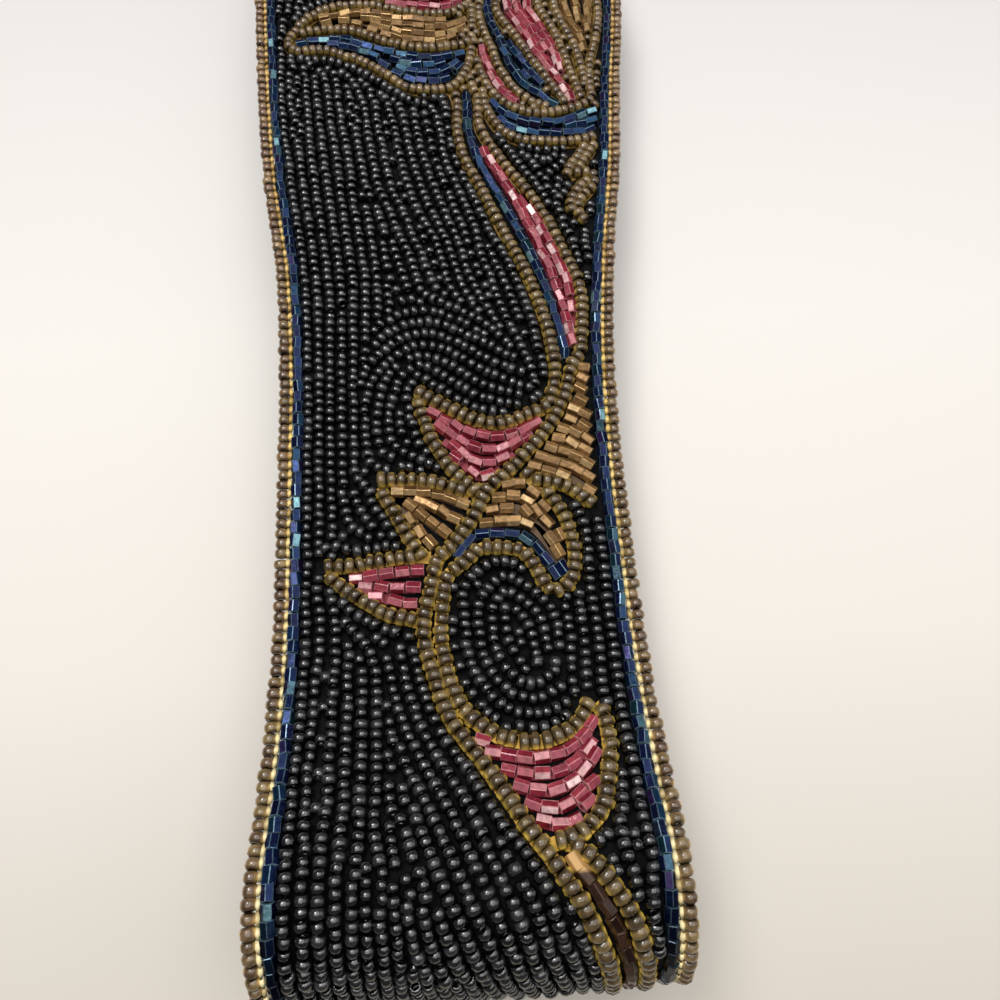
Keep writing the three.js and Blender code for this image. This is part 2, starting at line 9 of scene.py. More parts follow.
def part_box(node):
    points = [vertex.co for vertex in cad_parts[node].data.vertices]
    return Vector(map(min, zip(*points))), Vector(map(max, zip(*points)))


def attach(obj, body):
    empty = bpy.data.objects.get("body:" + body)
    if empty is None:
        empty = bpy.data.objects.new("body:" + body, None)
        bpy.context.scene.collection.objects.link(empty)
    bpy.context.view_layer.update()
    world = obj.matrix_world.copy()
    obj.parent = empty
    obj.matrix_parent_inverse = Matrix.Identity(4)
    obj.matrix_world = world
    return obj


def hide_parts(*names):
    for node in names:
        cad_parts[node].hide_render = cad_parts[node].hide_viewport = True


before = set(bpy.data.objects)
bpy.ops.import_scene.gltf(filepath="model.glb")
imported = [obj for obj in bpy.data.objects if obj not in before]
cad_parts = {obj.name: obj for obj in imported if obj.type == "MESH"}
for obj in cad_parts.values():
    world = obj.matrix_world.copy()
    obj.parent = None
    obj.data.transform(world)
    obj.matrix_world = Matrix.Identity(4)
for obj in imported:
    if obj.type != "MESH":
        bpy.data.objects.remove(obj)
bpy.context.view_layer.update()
mm = 0.001
farAway = 99.0
chance = np.random.default_rng(41)

# sizes of the belt, in mm, the same as the part's own
belt = {
    "width": 66.0,
    "flareLeft": 8.4,
    "flareRight": 16.5,
    "frontHalf": 232.0,
    "bendRadius": 17.0,
    "shoulderAngle": 30.0,
    "middleHeight": 20.0,
    "endGap": 1.2,
}

# how the edges swing out, as shares of the front half and of each side's flare
flareAlong = [0.0, 0.2, 0.35, 0.43, 0.54, 0.65, 0.75, 0.86, 0.97, 1.0]
flareLeftShare = [0.0, 0.05, 0.04, 0.03, 0.04, 0.2, 0.58, 0.82, 0.97, 1.0]
flareRightShare = [0.0, 0.03, 0.05, 0.055, 0.13, 0.32, 0.56, 0.76, 0.97, 1.0]

shoulder = math.radians(belt["shoulderAngle"])
quarterArc = belt["bendRadius"] * math.pi / 2
bendArc = belt["bendRadius"] * (math.pi / 2 + shoulder)
sagDrop = belt["bendRadius"] * (1 + math.cos(shoulder)) - belt["middleHeight"]
sagRadius = sagDrop / (1 - math.cos(shoulder))
sagArc = sagRadius * shoulder
middleHalf = belt["frontHalf"] - bendArc - sagArc
bendMiddle = middleHalf + (belt["bendRadius"] + sagRadius) * math.sin(shoulder)
loopHalf = belt["frontHalf"] + bendMiddle + quarterArc
loopEnd = loopHalf - belt["endGap"] / 2
middleAcross = (belt["flareRight"] - belt["flareLeft"]) / 2


def spreadKnots(shares, run):
    # a smooth edge through the table's knots
    along = np.clip(1 - np.abs(run) / belt["frontHalf"], 0, 1)
    knots = np.array(flareAlong)
    values = np.array(shares)
    slopes = np.gradient(values, knots)
    slopes[0] = 0
    cell = np.clip(np.searchsorted(knots, along) - 1, 0, len(knots) - 2)
    gap = knots[cell + 1] - knots[cell]
    t = (along - knots[cell]) / gap
    rise = values[cell] * (1 - t) ** 2 * (1 + 2 * t) + values[cell + 1] * t * t * (3 - 2 * t)
    bend = gap * (slopes[cell] * t * (1 - t) ** 2 - slopes[cell + 1] * t * t * (1 - t))
    return rise + bend


def edgeAt(side, run):
    # where an edge of the belt is, side -1 for the left and 1 for the right
    run = np.asarray(run, dtype=float)
    if side < 0:
        return -belt["width"] / 2 - belt["flareLeft"] * spreadKnots(flareLeftShare, run)
    return belt["width"] / 2 + belt["flareRight"] * spreadKnots(flareRightShare, run)


def loopFrame(run):
    # point, direction along and outward normal of the bead tops, in the YZ plane
    run = np.asarray(run, dtype=float)
    side = np.where(run < 0, -1.0, 1.0)
    tip = belt["frontHalf"] - np.abs(run)
    radius = belt["bendRadius"]
    sagTurn = (bendArc + sagArc - tip) / sagRadius
    bendTurn = tip / radius
    zones = [tip >= bendArc + sagArc, tip >= bendArc, tip >= -quarterArc]
    y = np.select(
        zones,
        [np.abs(run), middleHalf + sagRadius * np.sin(sagTurn), bendMiddle + radius * np.cos(bendTurn)],
        bendMiddle + quarterArc + tip,
    )
    z = np.select(
        zones,
        [
            belt["middleHeight"] + 0 * run,
            belt["middleHeight"] + sagRadius * (1 - np.cos(sagTurn)),
            radius * (1 + np.sin(bendTurn)),
        ],
        0 * run,
    )
    normalY = np.select(zones, [0 * run, -np.sin(sagTurn), np.cos(bendTurn)], 0 * run)
    normalZ = np.select(zones, [1 + 0 * run, np.cos(sagTurn), np.sin(bendTurn)], -1 + 0 * run)
    point = np.stack([0 * run, side * y, z], -1)
    normal = np.stack([0 * run, side * normalY, normalZ], -1)
    along = np.stack([0 * run, normalZ, -side * normalY], -1)
    return point, along, normal


def placed(across, run, height):
    # a point of the flat strap, put on the loop, in metres
    point, _, normal = loopFrame(run)
    spot = point + normal * np.asarray(height, dtype=float)[..., None]
    spot[..., 0] = np.asarray(across) - middleAcross
    return spot * mm


# camera, matched to the photo: a phone held close over the belt's near end
view = {
    "across": 3.98,
    "fromNearTip": 37.3,
    "height": 156.8,
    "tilt": 18.56,
    "turn": -6.72,
    "roll": 2.72,
    "focalPixels": 751.0,
    "framePixels": 1000.0,
    "sensor": 36.0,
    "clipStart": 0.005,
}


def makeCamera():
    data = bpy.data.cameras.new("camera")
    data.sensor_width = view["sensor"]
    data.lens = view["focalPixels"] / view["framePixels"] * view["sensor"]
    data.clip_start = view["clipStart"]
    camera = bpy.data.objects.new("camera", data)
    nearTip = -(bendMiddle + belt["bendRadius"])
    spot = Vector((view["across"] - middleAcross, nearTip + view["fromNearTip"], view["height"])) * mm
    turned = (
        Matrix.Rotation(math.radians(view["turn"]), 4, "Z")
        @ Matrix.Rotation(math.radians(view["tilt"]), 4, "X")
        @ Matrix.Rotation(math.radians(view["roll"]), 4, "Z")
    )
    camera.matrix_world = Matrix.Translation(spot) @ turned
    bpy.context.collection.objects.link(camera)
    bpy.context.scene.camera = camera


def finished(name, shape, paint):
    # a bmesh made into an object with its paint
    mesh = bpy.data.meshes.new(name)
    shape.to_mesh(mesh)
    shape.free()
    mesh.materials.append(paint)
    piece = bpy.data.objects.new(name, mesh)
    bpy.context.collection.objects.link(piece)
    return piece


# helpers for finishes
def newPaint(name, **values):
    paint = bpy.data.materials.new(name)
    paint.use_nodes = True
    surface = paint.node_tree.nodes["Principled BSDF"]
    for label, value in values.items():
        surface.inputs[label].default_value = value
    return paint, paint.node_tree, surface


def attribute(tree, label):
    node = tree.nodes.new("ShaderNodeAttribute")
    node.attribute_name = label
    return node.outputs["Fac"]


def ramp(tree, source, stops):
    node = tree.nodes.new("ShaderNodeValToRGB")
    while len(node.color_ramp.elements) < len(stops):
        node.color_ramp.elements.new(0.5)
    for element, (place, colour) in zip(node.color_ramp.elements, stops):
        element.position = place
        element.color = (*colour, 1)
    tree.links.new(source, node.inputs["Fac"])
    return node.outputs["Color"]


def mixed(tree, share, one, other, blend="MIX"):
    node = tree.nodes.new("ShaderNodeMix")
    node.data_type = "RGBA"
    node.blend_type = blend
    for socket, value in ((node.inputs[0], share), (node.inputs[6], one), (node.inputs[7], other)):
        if hasattr(value, "links"):
            tree.links.new(value, socket)
        else:
            socket.default_value = value
    return node.outputs[2]


def times(tree, one, other):
    return mixed(tree, 1.0, one, other, "MULTIPLY")


def objectNoise(tree, scale, detail=2.0):
    place = tree.nodes.new("ShaderNodeTexCoord")
    noise = tree.nodes.new("ShaderNodeTexNoise")
    noise.inputs["Scale"].default_value = scale
    noise.inputs["Detail"].default_value = detail
    tree.links.new(place.outputs["Object"], noise.inputs["Vector"])
    return noise.outputs["Fac"]


def alongBelt(tree, start, end):
    # 0 to 1 between two places along the belt
    place = tree.nodes.new("ShaderNodeTexCoord")
    split = tree.nodes.new("ShaderNodeSeparateXYZ")
    tree.links.new(place.outputs["Object"], split.inputs["Vector"])
    along = tree.nodes.new("ShaderNodeMapRange")
    along.inputs["From Min"].default_value = start
    along.inputs["From Max"].default_value = end
    tree.links.new(split.outputs["Y"], along.inputs["Value"])
    return along.outputs["Result"]


# places along the belt, in metres, between which a finish changes
places = {
    "nearEnd": (-0.19, -0.05),
    "bend": (-0.212, -0.198),
    "deepRowStart": (-0.2006, -0.2000),
}


def nearEnd(tree):
    # 0 near the belt's near end, where light comes through the glass, 1 farther up
    return alongBelt(tree, *places["nearEnd"])


def bumped(tree, surface, source, distance):
    bump = tree.nodes.new("ShaderNodeBump")
    bump.inputs["Distance"].default_value = distance
    bump.inputs["Strength"].default_value = 1.0
    tree.links.new(source, bump.inputs["Height"])
    tree.links.new(bump.outputs["Normal"], surface.inputs["Normal"])


# soft light from overhead, with a small lamp at the upper left, over a pale table
studio = {
    "world": (0.97, 0.98, 1.0),
    "worldStrength": 0.12,
    "keySpot": (-0.18, 0.10, 0.62),
    "keySize": 0.2,
    "keyPower": 1.3,
    "keyColour": (1, 0.985, 0.955),
    "ceilingSpot": (0.03, 0.10, 1.1),
    "ceilingSize": 1.5,
    "ceilingPower": 13.6,
    "ceilingColour": (1, 0.99, 0.975),
    "fillSpot": (0.62, -0.12, 0.40),
    "fillSize": 0.6,
    "fillPower": 0.9,
    "fillColour": (0.98, 0.97, 1),
    "lampAim": (0, -0.12, 0.01),
    "tableSize": 3.0,
    "tableRoughness": 0.65,
    # the table's colour carries painted light: darker and warmer towards the near end, brightest in the
    # middle, a little darker far up
    "tablePaintedLight": [(0.0, (0.645, 0.595, 0.505)), (0.35, (0.85, 0.80, 0.74)),
                     (0.62, (0.86, 0.83, 0.785)), (1.0, (0.76, 0.73, 0.715))],
    "tableFrom": -0.26,
    "tableTo": 0.02,
}


def areaLight(label):
    name = f"{label}Light"
    data = bpy.data.lights.new(name, "AREA")
    data.shape = "SQUARE"
    data.size = studio[f"{label}Size"]
    data.energy = studio[f"{label}Power"]
    data.color = studio[f"{label}Colour"]
    lamp = bpy.data.objects.new(name, data)
    lamp.location = studio[f"{label}Spot"]
    aim = Vector(studio["lampAim"]) - lamp.location
    lamp.rotation_euler = aim.to_track_quat("-Z", "Y").to_euler()
    bpy.context.collection.objects.link(lamp)


def makeStudio():
    world = bpy.data.worlds.new("studio")
    bpy.context.scene.world = world
    world.use_nodes = True
    sky = world.node_tree.nodes["Background"]
    sky.inputs["Color"].default_value = (*studio["world"], 1)
    sky.inputs["Strength"].default_value = studio["worldStrength"]
    for label in ("key", "ceiling", "fill"):
        areaLight(label)
    bpy.context.scene.view_settings.view_transform = "Standard"

    paint, tree, surface = newPaint("tablePaint", Roughness=studio["tableRoughness"])
    # painted light along the table: its colour changes with the place along the belt
    along = alongBelt(tree, studio["tableFrom"], studio["tableTo"])
    tree.links.new(ramp(tree, along, studio["tablePaintedLight"]), surface.inputs["Base Color"])
    shape = bmesh.new()
    bmesh.ops.create_grid(shape, x_segments=1, y_segments=1, size=studio["tableSize"] / 2)
    floor = finished("tableTop", shape, paint)


makeCamera()
makeStudio()
print("camera and studio ready")


# chart of the outlines, in mm: across from the belt's middle, along from the near bend's tip
amberChart = {
    "leafOuter": [(-31.4, 212.2), (-33, 213.6), (-33, 216), (-31.5, 218.7), (-29, 222), (-25.5, 224.8),
                  (-20.5, 226.3), (-14, 226.3), (-8.2, 224.7), (-3.5, 223.3), (2, 222.5), (6, 222.6),
                  (9, 224), (11.5, 226.8)],
    "budCap": [(-14, 226.3), (-9, 229), (-3, 230.8), (3, 230.8), (8, 229.8), (11.5, 226.8)],
    "leafFold": [(-32, 216.5), (-29, 218), (-24, 218.8), (-19.8, 218.3), (-15.7, 217.2), (-12.3, 215.3),
                 (-9, 213.7), (-4.8, 212.3), (0.2, 211.6), (5.2, 211.8), (9.3, 212.7), (11.3, 215.3)],
    "leafUnder": [(-31.6, 212), (-24, 211.8), (-17.3, 209), (-14, 207), (-10.7, 204.5), (-8.2, 202),
                  (-5.7, 199.9), (-2.3, 198.7), (1.8, 198.4), (5.2, 199), (7.7, 201.2), (9, 204),
                  (10.2, 207), (10.9, 212), (11.5, 219), (11.5, 226.8)],
    "stemLeft": [(5.2, 199), (6.4, 194.5), (6, 187), (6.7, 180.3), (8.1, 175.3), (10.2, 170.3),
                 (12.3, 164), (15.6, 155), (18.8, 146.4), (21.4, 136.4), (22.4, 129.3), (22.6, 122.1),
                 (20.9, 115)],
    "stemRight": [(9, 204), (10.5, 198), (11.4, 194.5), (11, 188), (12.7, 182.8), (16.4, 175.3),
                  (20.6, 168.3), (24.3, 160.5), (27.4, 151.4), (29.5, 144), (30, 139.3), (29.2, 132),
                  (28.4, 126.4)],
    "vine": [(28.4, 126.4), (26.3, 123.6), (25.2, 120.7), (23.8, 116.5), (21.6, 112.5), (18.1, 107.9),
             (14.4, 104.2), (11, 101), (6.7, 97.3), (4, 92.3), (0, 87.3), (-2.9, 84.8), (-4.2, 81),
             (-5.3, 77), (-6.2, 73), (-6, 68.3), (-4.5, 62.3), (-2, 55), (2, 49), (6.3, 42.3),
             (10, 35.7), (13.3, 30.3), (16.3, 25), (18.7, 19), (20.3, 12.3), (21, 6), (21.2, 0),
             (21.5, -6), (22.5, -12)],
    "flowerOuter": [(11.5, 219), (11.5, 211), (11.7, 207), (12.7, 202.8), (13.9, 198.7), (15.6, 195.8),
                    (18.1, 193.3), (21, 191.2), (25, 190), (29.3, 190.2), (32.7, 191), (36, 192),
                    (38.2, 194)],
    "flowerInner": [(29.3, 190.6), (26, 192.5), (22.7, 194.7), (20.6, 197), (18.9, 200.3), (17.3, 203.7),
                    (16.4, 207), (15.6, 211.2), (14.3, 215.3), (13.5, 219.5), (13.5, 224.5)],
    "flowerDome": [(13.5, 224.5), (14.3, 229), (16.5, 234), (21, 238.5), (27, 241), (33.5, 240.5),
                   (38.5, 237), (41.8, 231), (42.8, 224), (42.3, 217.8), (41, 212), (39.2, 206),
                   (38.3, 200), (38.2, 194)],
    "petalLeft": [(21, 238.5), (18.4, 231), (17.6, 223.7), (18.9, 219.5), (20.6, 216.2), (22.3, 212.8),
                  (25.2, 206.2), (28.5, 199.5), (32.7, 191)],
    "petalRight": [(28, 241), (28, 231), (27.9, 224.5), (29.3, 220.3), (30.9, 216.2), (32, 212),
                   (33.1, 207), (33.9, 202.8), (34.8, 198.7), (36, 192)],
    "columnLeft": [(32.6, 240.6), (32, 231), (32, 224.1), (33, 219.5), (34.2, 215.3), (35.5, 211.2),
                   (36.2, 207), (36.7, 202.8), (37, 198.7), (37.4, 193.5)],
    "leafletUnder": [(12.6, 198), (12.9, 194), (13.5, 191.2), (14.8, 187.8), (16.8, 184.9),
                     (19.8, 182.8), (23.5, 182), (27.7, 181.6), (31.8, 181.4), (36, 182), (37.6, 182.8)],
    "tendrilStem": [(36, 181.5), (33.5, 177.4), (31.4, 174.5), (29.8, 171.6)],
    "tendrilStemSide": [(37.3, 180.4), (34.9, 176.5), (32.7, 173.6)],
    "tendrilHookSide": [(34.9, 170.6), (32.4, 168), (30.4, 164.6), (30.2, 161.4)],
    "tendrilHook": [(29.8, 171.6), (33, 172.6), (36, 171.6), (35.8, 168.8), (33.8, 166.6), (32, 164),
                    (31.8, 161), (33.2, 159)],
    "crescentTop": [(20.9, 115), (18.4, 113.9), (15.6, 113.2), (12.7, 112), (9.9, 111.6), (7, 112),
                    (4.1, 113.4), (-0.1, 116), (-4.4, 118.9), (-5.9, 119.9)],
    "crescentLeft": [(-5.9, 119.9), (-5.5, 116.4), (-4.4, 112.9), (-3, 108.6), (-1.2, 105), (1.3, 101.3),
                     (4.7, 97.7), (5.3, 95)],
    "fieldUnder": [(16, 99.3), (20.7, 98.3), (23.3, 97), (25.3, 95.3), (26.7, 93.8), (27.6, 93.1)],
    "clawOuter": [(14.4, 101.5), (16, 99.3), (17.7, 98), (19, 96), (20.3, 94), (21.7, 91), (22.3, 88.3),
                  (22.7, 85), (22.6, 82.3), (22, 79.7), (20.7, 78), (18, 76.7)],
    "curl": [(18, 76.7), (16.3, 79), (15.3, 81.3), (14.3, 83.3), (12.7, 85), (10, 85.8), (7.3, 86.1),
             (4.7, 86), (2.7, 84.3), (0.5, 82.7), (-1.4, 81.2), (-2.4, 78), (-2.9, 74), (-3.2, 70),
             (-2.6, 65), (-1.8, 61.5), (0.8, 56), (5.3, 52), (8, 50.9), (12, 50.2), (16, 50.9),
             (19.5, 52.8), (22, 56.7)],
    "lowerCrescentRight": [(22, 56.7), (24, 54.7), (24.4, 50.3), (24, 47), (22.7, 41.7), (21.7, 39),
                           (19.5, 36.5), (17, 34.8), (14, 34), (11.5, 33)],
    "strandRight": [(14, 34), (16.3, 33.3), (18.3, 31.7), (20.3, 28.7), (23.3, 23.7), (24.8, 19),
                    (25.9, 13), (26.2, 6), (26, 0), (25, -6), (22.5, -12)],
    "bronzeLeafTop": [(-14.3, 100.9), (-9.3, 100.9), (-3.3, 100), (1.3, 98.3), (4.7, 96.7)],
    "bronzeLeafLeft": [(-14.3, 100.9), (-12.7, 97), (-11.3, 94.7), (-9, 90), (-7.2, 87), (-5.5, 85)],
    "pinkLeafTop": [(-24.5, 84.5), (-19.3, 84.2), (-12.7, 85), (-6, 85.3), (-3.5, 84.5)],
    "pinkLeafUnder": [(-24.5, 84.5), (-22.7, 81.7), (-18.3, 78.3), (-13.3, 75), (-9.5, 73.8),
                      (-5.8, 72.6)],
}

# chart of the coloured fields: the first and last row of each, and how many rows fill it
fieldChart = {
    "gold_leaf_field": {
        "colour": "gold", "rows": 4,
        "first": [(-24.5, 222.9), (-19, 224), (-13, 223.8), (-8, 222.2), (-2, 221), (4, 220.4),
                  (8, 221.5), (9.3, 222)],
        "last": [(-21.5, 221.4), (-16, 219.8), (-11.5, 217.6), (-6.5, 215.4), (0, 214), (5, 214.2),
                 (9, 216.2)]},
    "pink_bud_field": {
        "colour": "pink", "rows": 2,
        "first": [(-6, 226.3), (0, 225.2), (5, 225.2), (8, 226.2)],
        "last": [(-5, 228.2), (0, 228), (5, 228), (7, 227.6)]},
    "blue_leaf_field": {
        "colour": "blue", "rows": 4,
        "first": [(-30, 214.6), (-25, 215.6), (-20.5, 215.6), (-17, 214.2), (-12.5, 212.2), (-8, 210.6),
                  (-4, 209.4), (0, 208.8), (3.5, 208.8), (7.5, 209.4)],
        "last": [(-27, 214), (-21.5, 212.9), (-17, 211.4), (-13, 209.2), (-10, 206.9), (-7, 204.2),
                 (-4, 202), (0, 201.2), (4, 202), (6.2, 204), (7.6, 206.5)]},
    "flower_pink_row": {
        "colour": "pink", "rows": 1,
        "first": [(12.9, 214.6), (13.6, 209.5), (14.6, 204.5), (16.2, 199.9), (18.1, 196.4),
                  (21.2, 193.4), (24.3, 192)]},
    "flower_blue_rows": {
        "colour": "blue", "rows": 2,
        "first": [(16.6, 230), (15.6, 224.5), (16, 219.5), (17.4, 215.3), (18.4, 211.2), (19.3, 207),
                  (20.6, 203.4), (22.4, 199.6), (25, 196.6), (28, 193.9)],
        "last": [(17, 226), (17, 220), (19.4, 214), (21, 210), (22.9, 206.2), (25, 202), (27, 198.6),
                 (29.2, 195)]},
    "pink_petal": {
        "colour": "pink", "rows": 3,
        "first": [(23, 237), (21, 230), (20.6, 223.7), (22.3, 219.5), (24.3, 214.9), (25.8, 211.2),
                  (27.7, 207.3), (30, 202), (32.5, 196)],
        "last": [(26, 237.6), (25.8, 230), (25.6, 223.3), (27.3, 218.7), (28.9, 214.5), (30.3, 210.3),
                 (31.3, 205), (32.4, 199), (34.2, 193.7)]},
    "bronze_columns": {
        "colour": "bronze", "rows": 3,
        "first": [(35, 236), (34.6, 229), (34.6, 224), (35.6, 218.7), (37, 214), (38, 209.5)],
        "last": [(38.6, 233.6), (40, 229), (40.5, 224), (40, 218.7), (39.4, 214), (38.6, 209.5)]},
    "blue_leaflet": {
        "colour": "blue", "rows": 3,
        "first": [(15.4, 193), (17.5, 190.6), (21, 188.6), (24.8, 187.4), (28.5, 187.2), (33, 188.3),
                  (36.6, 189.4)],
        "last": [(16.6, 188.6), (18.8, 186.4), (22.3, 184.9), (28.5, 184.1), (34.3, 184),
                 (36.8, 184.6)]},
    "stem_blue_row": {
        "colour": "blue", "rows": 1,
        "first": [(8.6, 192), (8.6, 187), (9.3, 182), (10.6, 176.5), (12.6, 171.2), (14.8, 166),
                  (18.2, 157), (21.3, 147.9), (23.4, 138.6), (24.9, 130), (25.1, 126)]},
    "stem_pink_rows": {
        "colour": "pink", "rows": 2,
        "first": [(13.5, 176.2), (15.6, 171.6), (17.5, 167), (20.6, 158.4), (23.8, 148), (25.8, 139),
                  (26.9, 129.6)],
        "last": [(15.2, 175), (18.2, 169.6), (20.8, 163.8), (23, 158.2), (26, 149.4), (27.4, 143.6),
                 (27.6, 136)]},
    "upper_crescent": {
        "colour": "pink", "rows": 4,
        "first": [(-3, 115), (0.2, 112.7), (3.4, 110.7), (7.1, 109.3), (9.9, 108.9), (12.7, 109.2),
                  (15.4, 110.2), (18.3, 111.4)],
        "last": [(3.4, 103.2), (5.6, 100.8), (8, 101), (9.6, 102)]},
    "bronze_field": {
        "colour": "bronze", "rows": 10,
        "first": [(27, 121.4), (28.2, 120.6)],
        "last": [(15.8, 102.6), (19, 101), (22.5, 99.6), (25.5, 97.6), (27.8, 95.8)]},
    "blue_arc": {
        "colour": "blue", "rows": 1,
        "first": [(0.9, 85.3), (2.6, 87.3), (4.7, 88.6), (10, 88.6), (12.6, 88.2), (14.6, 86.9),
                  (16.4, 84.6), (17.8, 82), (19.2, 79.6)]},
    "bronze_claw": {
        "colour": "bronze", "rows": 4,
        "first": [(10.6, 98.5), (12.2, 98.8), (14, 98.7)],
        "last": [(4.8, 91), (9.7, 91.2), (13, 90.9), (15.6, 89.6), (17.6, 87.2), (19.1, 84.6),
                 (20.2, 82)]},
    "bronze_leaf": {
        "colour": "bronze", "rows": 4,
        "first": [(-12, 98.7), (-7, 98.3), (-2, 97.2), (2, 95.2)],
        "last": [(-11, 97.6), (-8.6, 94), (-6.2, 90), (-4.2, 87.6)]},
    "pink_leaf": {
        "colour": "pink", "rows": 3,
        "first": [(-18.8, 81.8), (-14.7, 82.3), (-11.3, 82.5), (-6.7, 82.5)],
        "last": [(-14.4, 78.4), (-10.3, 76.8), (-8.4, 76.4)]},
    "lower_crescent": {
        "colour": "pink", "rows": 5,
        "first": [(3.6, 49.4), (8, 48.2), (12, 47.6), (16.3, 48.3), (19.5, 50), (21.6, 52.4)],
        "last": [(12.3, 37.2), (14.4, 36.6), (16.6, 37)]},
    "bronze_bottom_row": {
        "colour": "deep", "rows": 1,
        "first": [(16.4, 30.2), (18.5, 26.8), (20.8, 22), (22.5, 16.5), (23.5, 11), (23.8, 5),
                  (23.7, -1), (23.3, -6)]},
}


# spacing of a line's points, points between two knots, and how far a bead looks ahead for its direction
stringing = {"step": 0.4, "betweenKnots": 24, "ahead": 0.8}


def smoothLine(points):
    # a smooth line through charted points, as evenly spaced points of the flat strap
    knots = np.array(points, dtype=float)
    knots[:, 1] -= belt["frontHalf"]
    before = np.vstack([knots[:1], knots[:-2], knots[-2:-1]])[: len(knots) - 1]
    start = knots[:-1]
    end = knots[1:]
    after = np.vstack([knots[2:], knots[-1:]])
    t = np.linspace(0, 1, stringing["betweenKnots"], endpoint=False)[None, :, None]
    leave = (end - before)[:, None] / 2
    arrive = (after - start)[:, None] / 2
    curve = (
        start[:, None] * (2 * t**3 - 3 * t**2 + 1)
        + leave * (t**3 - 2 * t**2 + t)
        + end[:, None] * (3 * t**2 - 2 * t**3)
        + arrive * (t**3 - t**2)
    ).reshape(-1, 2)
    curve = np.vstack([curve, knots[-1:]])
    return evenly(curve, max(2, round(lineLength(curve) / stringing["step"])) + 1)


def lineLength(line):
    return float(np.hypot(*np.diff(line, axis=0).T).sum())


def pointsAt(line, run, marks):
    # points of a line at marks along it, where run is how far each of its own points is along it
    return np.stack([np.interp(marks, run, line[:, k]) for k in (0, 1)], -1)


def runAlong(line):
    return np.concatenate([[0], np.cumsum(np.hypot(*np.diff(line, axis=0).T))])


def evenly(line, count):
    run = runAlong(line)
    return pointsAt(line, run, np.linspace(0, run[-1], count))


def strung(line, pitch, margin=0.0):
    # beads on a line: middles and directions, the first and last a half pitch in
    length = lineLength(line) - 2 * margin
    count = int(round(length / pitch))
    if count < 1:
        return np.zeros((0, 2)), np.zeros(0)
    run = runAlong(line)
    marks = margin + (np.arange(count) + 0.5) * length / count
    reach = min(stringing["ahead"], length / 3)
    step = pointsAt(line, run, marks + reach) - pointsAt(line, run, marks - reach)
    return pointsAt(line, run, marks), np.arctan2(step[:, 1], step[:, 0])


def apart(spots, others):
    # the distance from every spot to every one of the others
    return np.hypot(*(spots[:, None] - others[None]).transpose(2, 0, 1))


def gapTo(spots, others):
    # the distance from every spot to the nearest of the others
    if not len(others):
        return np.full(len(spots), farAway)
    return apart(spots, others).min(1)


# bead shapes, in mm: half length and radius at each corner of the profile, and sides round it
beadShapes = {
    "seed": {"profile": [(-0.82, 0.62), (-0.68, 1.04), (0, 1.22), (0.68, 1.04), (0.82, 0.62)],
             "sides": 11, "smooth": True},
    "plainSeed": {"profile": [(-0.82, 0.82), (-0.38, 1.2), (0.38, 1.2), (0.82, 0.82)],
                  "sides": 6, "smooth": True},
    "amber": {"profile": [(-0.92, 0.5), (-0.84, 0.95), (-0.4, 1.27),
                          (0.4, 1.27), (0.84, 0.95), (0.92, 0.5)],
              "sides": 10, "smooth": True},
    "plainAmber": {"profile": [(-0.9, 0.7), (0, 1.28), (0.9, 0.7)], "sides": 7, "smooth": True},
    "cut": {"profile": [(-1.3, 0.5), (-1.3, 1.04), (-1.22, 1.13), (1.22, 1.13), (1.3, 1.04), (1.3, 0.5)],
            "sides": 12, "smooth": False, "chamfered": True},
    "plainCut": {"profile": [(-1.28, 0.5), (-1.28, 1.1), (1.28, 1.1), (1.28, 0.5)], "sides": 6,
                 "smooth": False},
}
# how a cut bead is cut, and how strongly its end faces and chamfers take the painted glint
cutBead = {"facets": 6, "chamferTurn": 9, "bore": 0.6, "endLean": 0.3, "endRim": 0.9, "chamferArea": 0.5,
           "chamferRim": 0.45}


def beadUnit(shape):
    # one bead, spun round its thread along X, as points, faces and which faces are which
    turned = bmesh.new()
    corners = [turned.verts.new((x, 0, radius)) for x, radius in shape["profile"]]
    for one, other in zip(corners, corners[1:] + corners[:1]):
        turned.edges.new((one, other))
    bmesh.ops.spin(turned, geom=turned.verts[:] + turned.edges[:], cent=(0, 0, 0), axis=(1, 0, 0),
                   angle=2 * math.pi, steps=shape["sides"], use_merge=True)
    bmesh.ops.remove_doubles(turned, verts=turned.verts[:], dist=1e-4)
    bmesh.ops.recalc_face_normals(turned, faces=turned.faces[:])
    if shape.get("chamfered"):
        # every second corner is turned towards the next, which leaves broad facets and narrow chamfers
        side = 360 / shape["sides"]
        lean = Matrix.Rotation(math.radians(side) - math.radians(cutBead["chamferTurn"]), 3, "X")
        for vert in turned.verts:
            angle = math.degrees(math.atan2(vert.co.y, vert.co.z)) % 360
            if round(angle / side) % 2:
                bmesh.ops.rotate(turned, verts=[vert], cent=(0, 0, 0), matrix=lean)
    turned.verts.index_update()
    turned.normal_update()
    points = np.array([v.co[:] for v in turned.verts])
    faces = np.array([[v.index for v in f.verts] for f in turned.faces])
    middles = np.array([f.calc_center_median()[:] for f in turned.faces])
    normals = np.array([f.normal[:] for f in turned.faces])
    areas = np.array([f.calc_area() for f in turned.faces])
    turned.free()
    outer = np.hypot(middles[:, 1], middles[:, 2]) > cutBead["bore"]
    atEnd = outer & (np.abs(normals[:, 0]) > cutBead["endLean"])
    chamfer = outer & (areas < cutBead["chamferArea"])
    # rim marks the faces that take the painted glint: the end faces and the chamfers
    rim = np.where(atEnd, cutBead["endRim"], np.where(chamfer, cutBead["chamferRim"], 0.0))
    turn = np.degrees(np.arctan2(middles[:, 1], middles[:, 2])) % 360
    facet = (np.floor(turn / (360 / cutBead["facets"])) % 2).astype(float)
    return points, faces, {"rim": rim, "facet": facet}


units = {name: beadUnit(shape) for name, shape in beadShapes.items()}


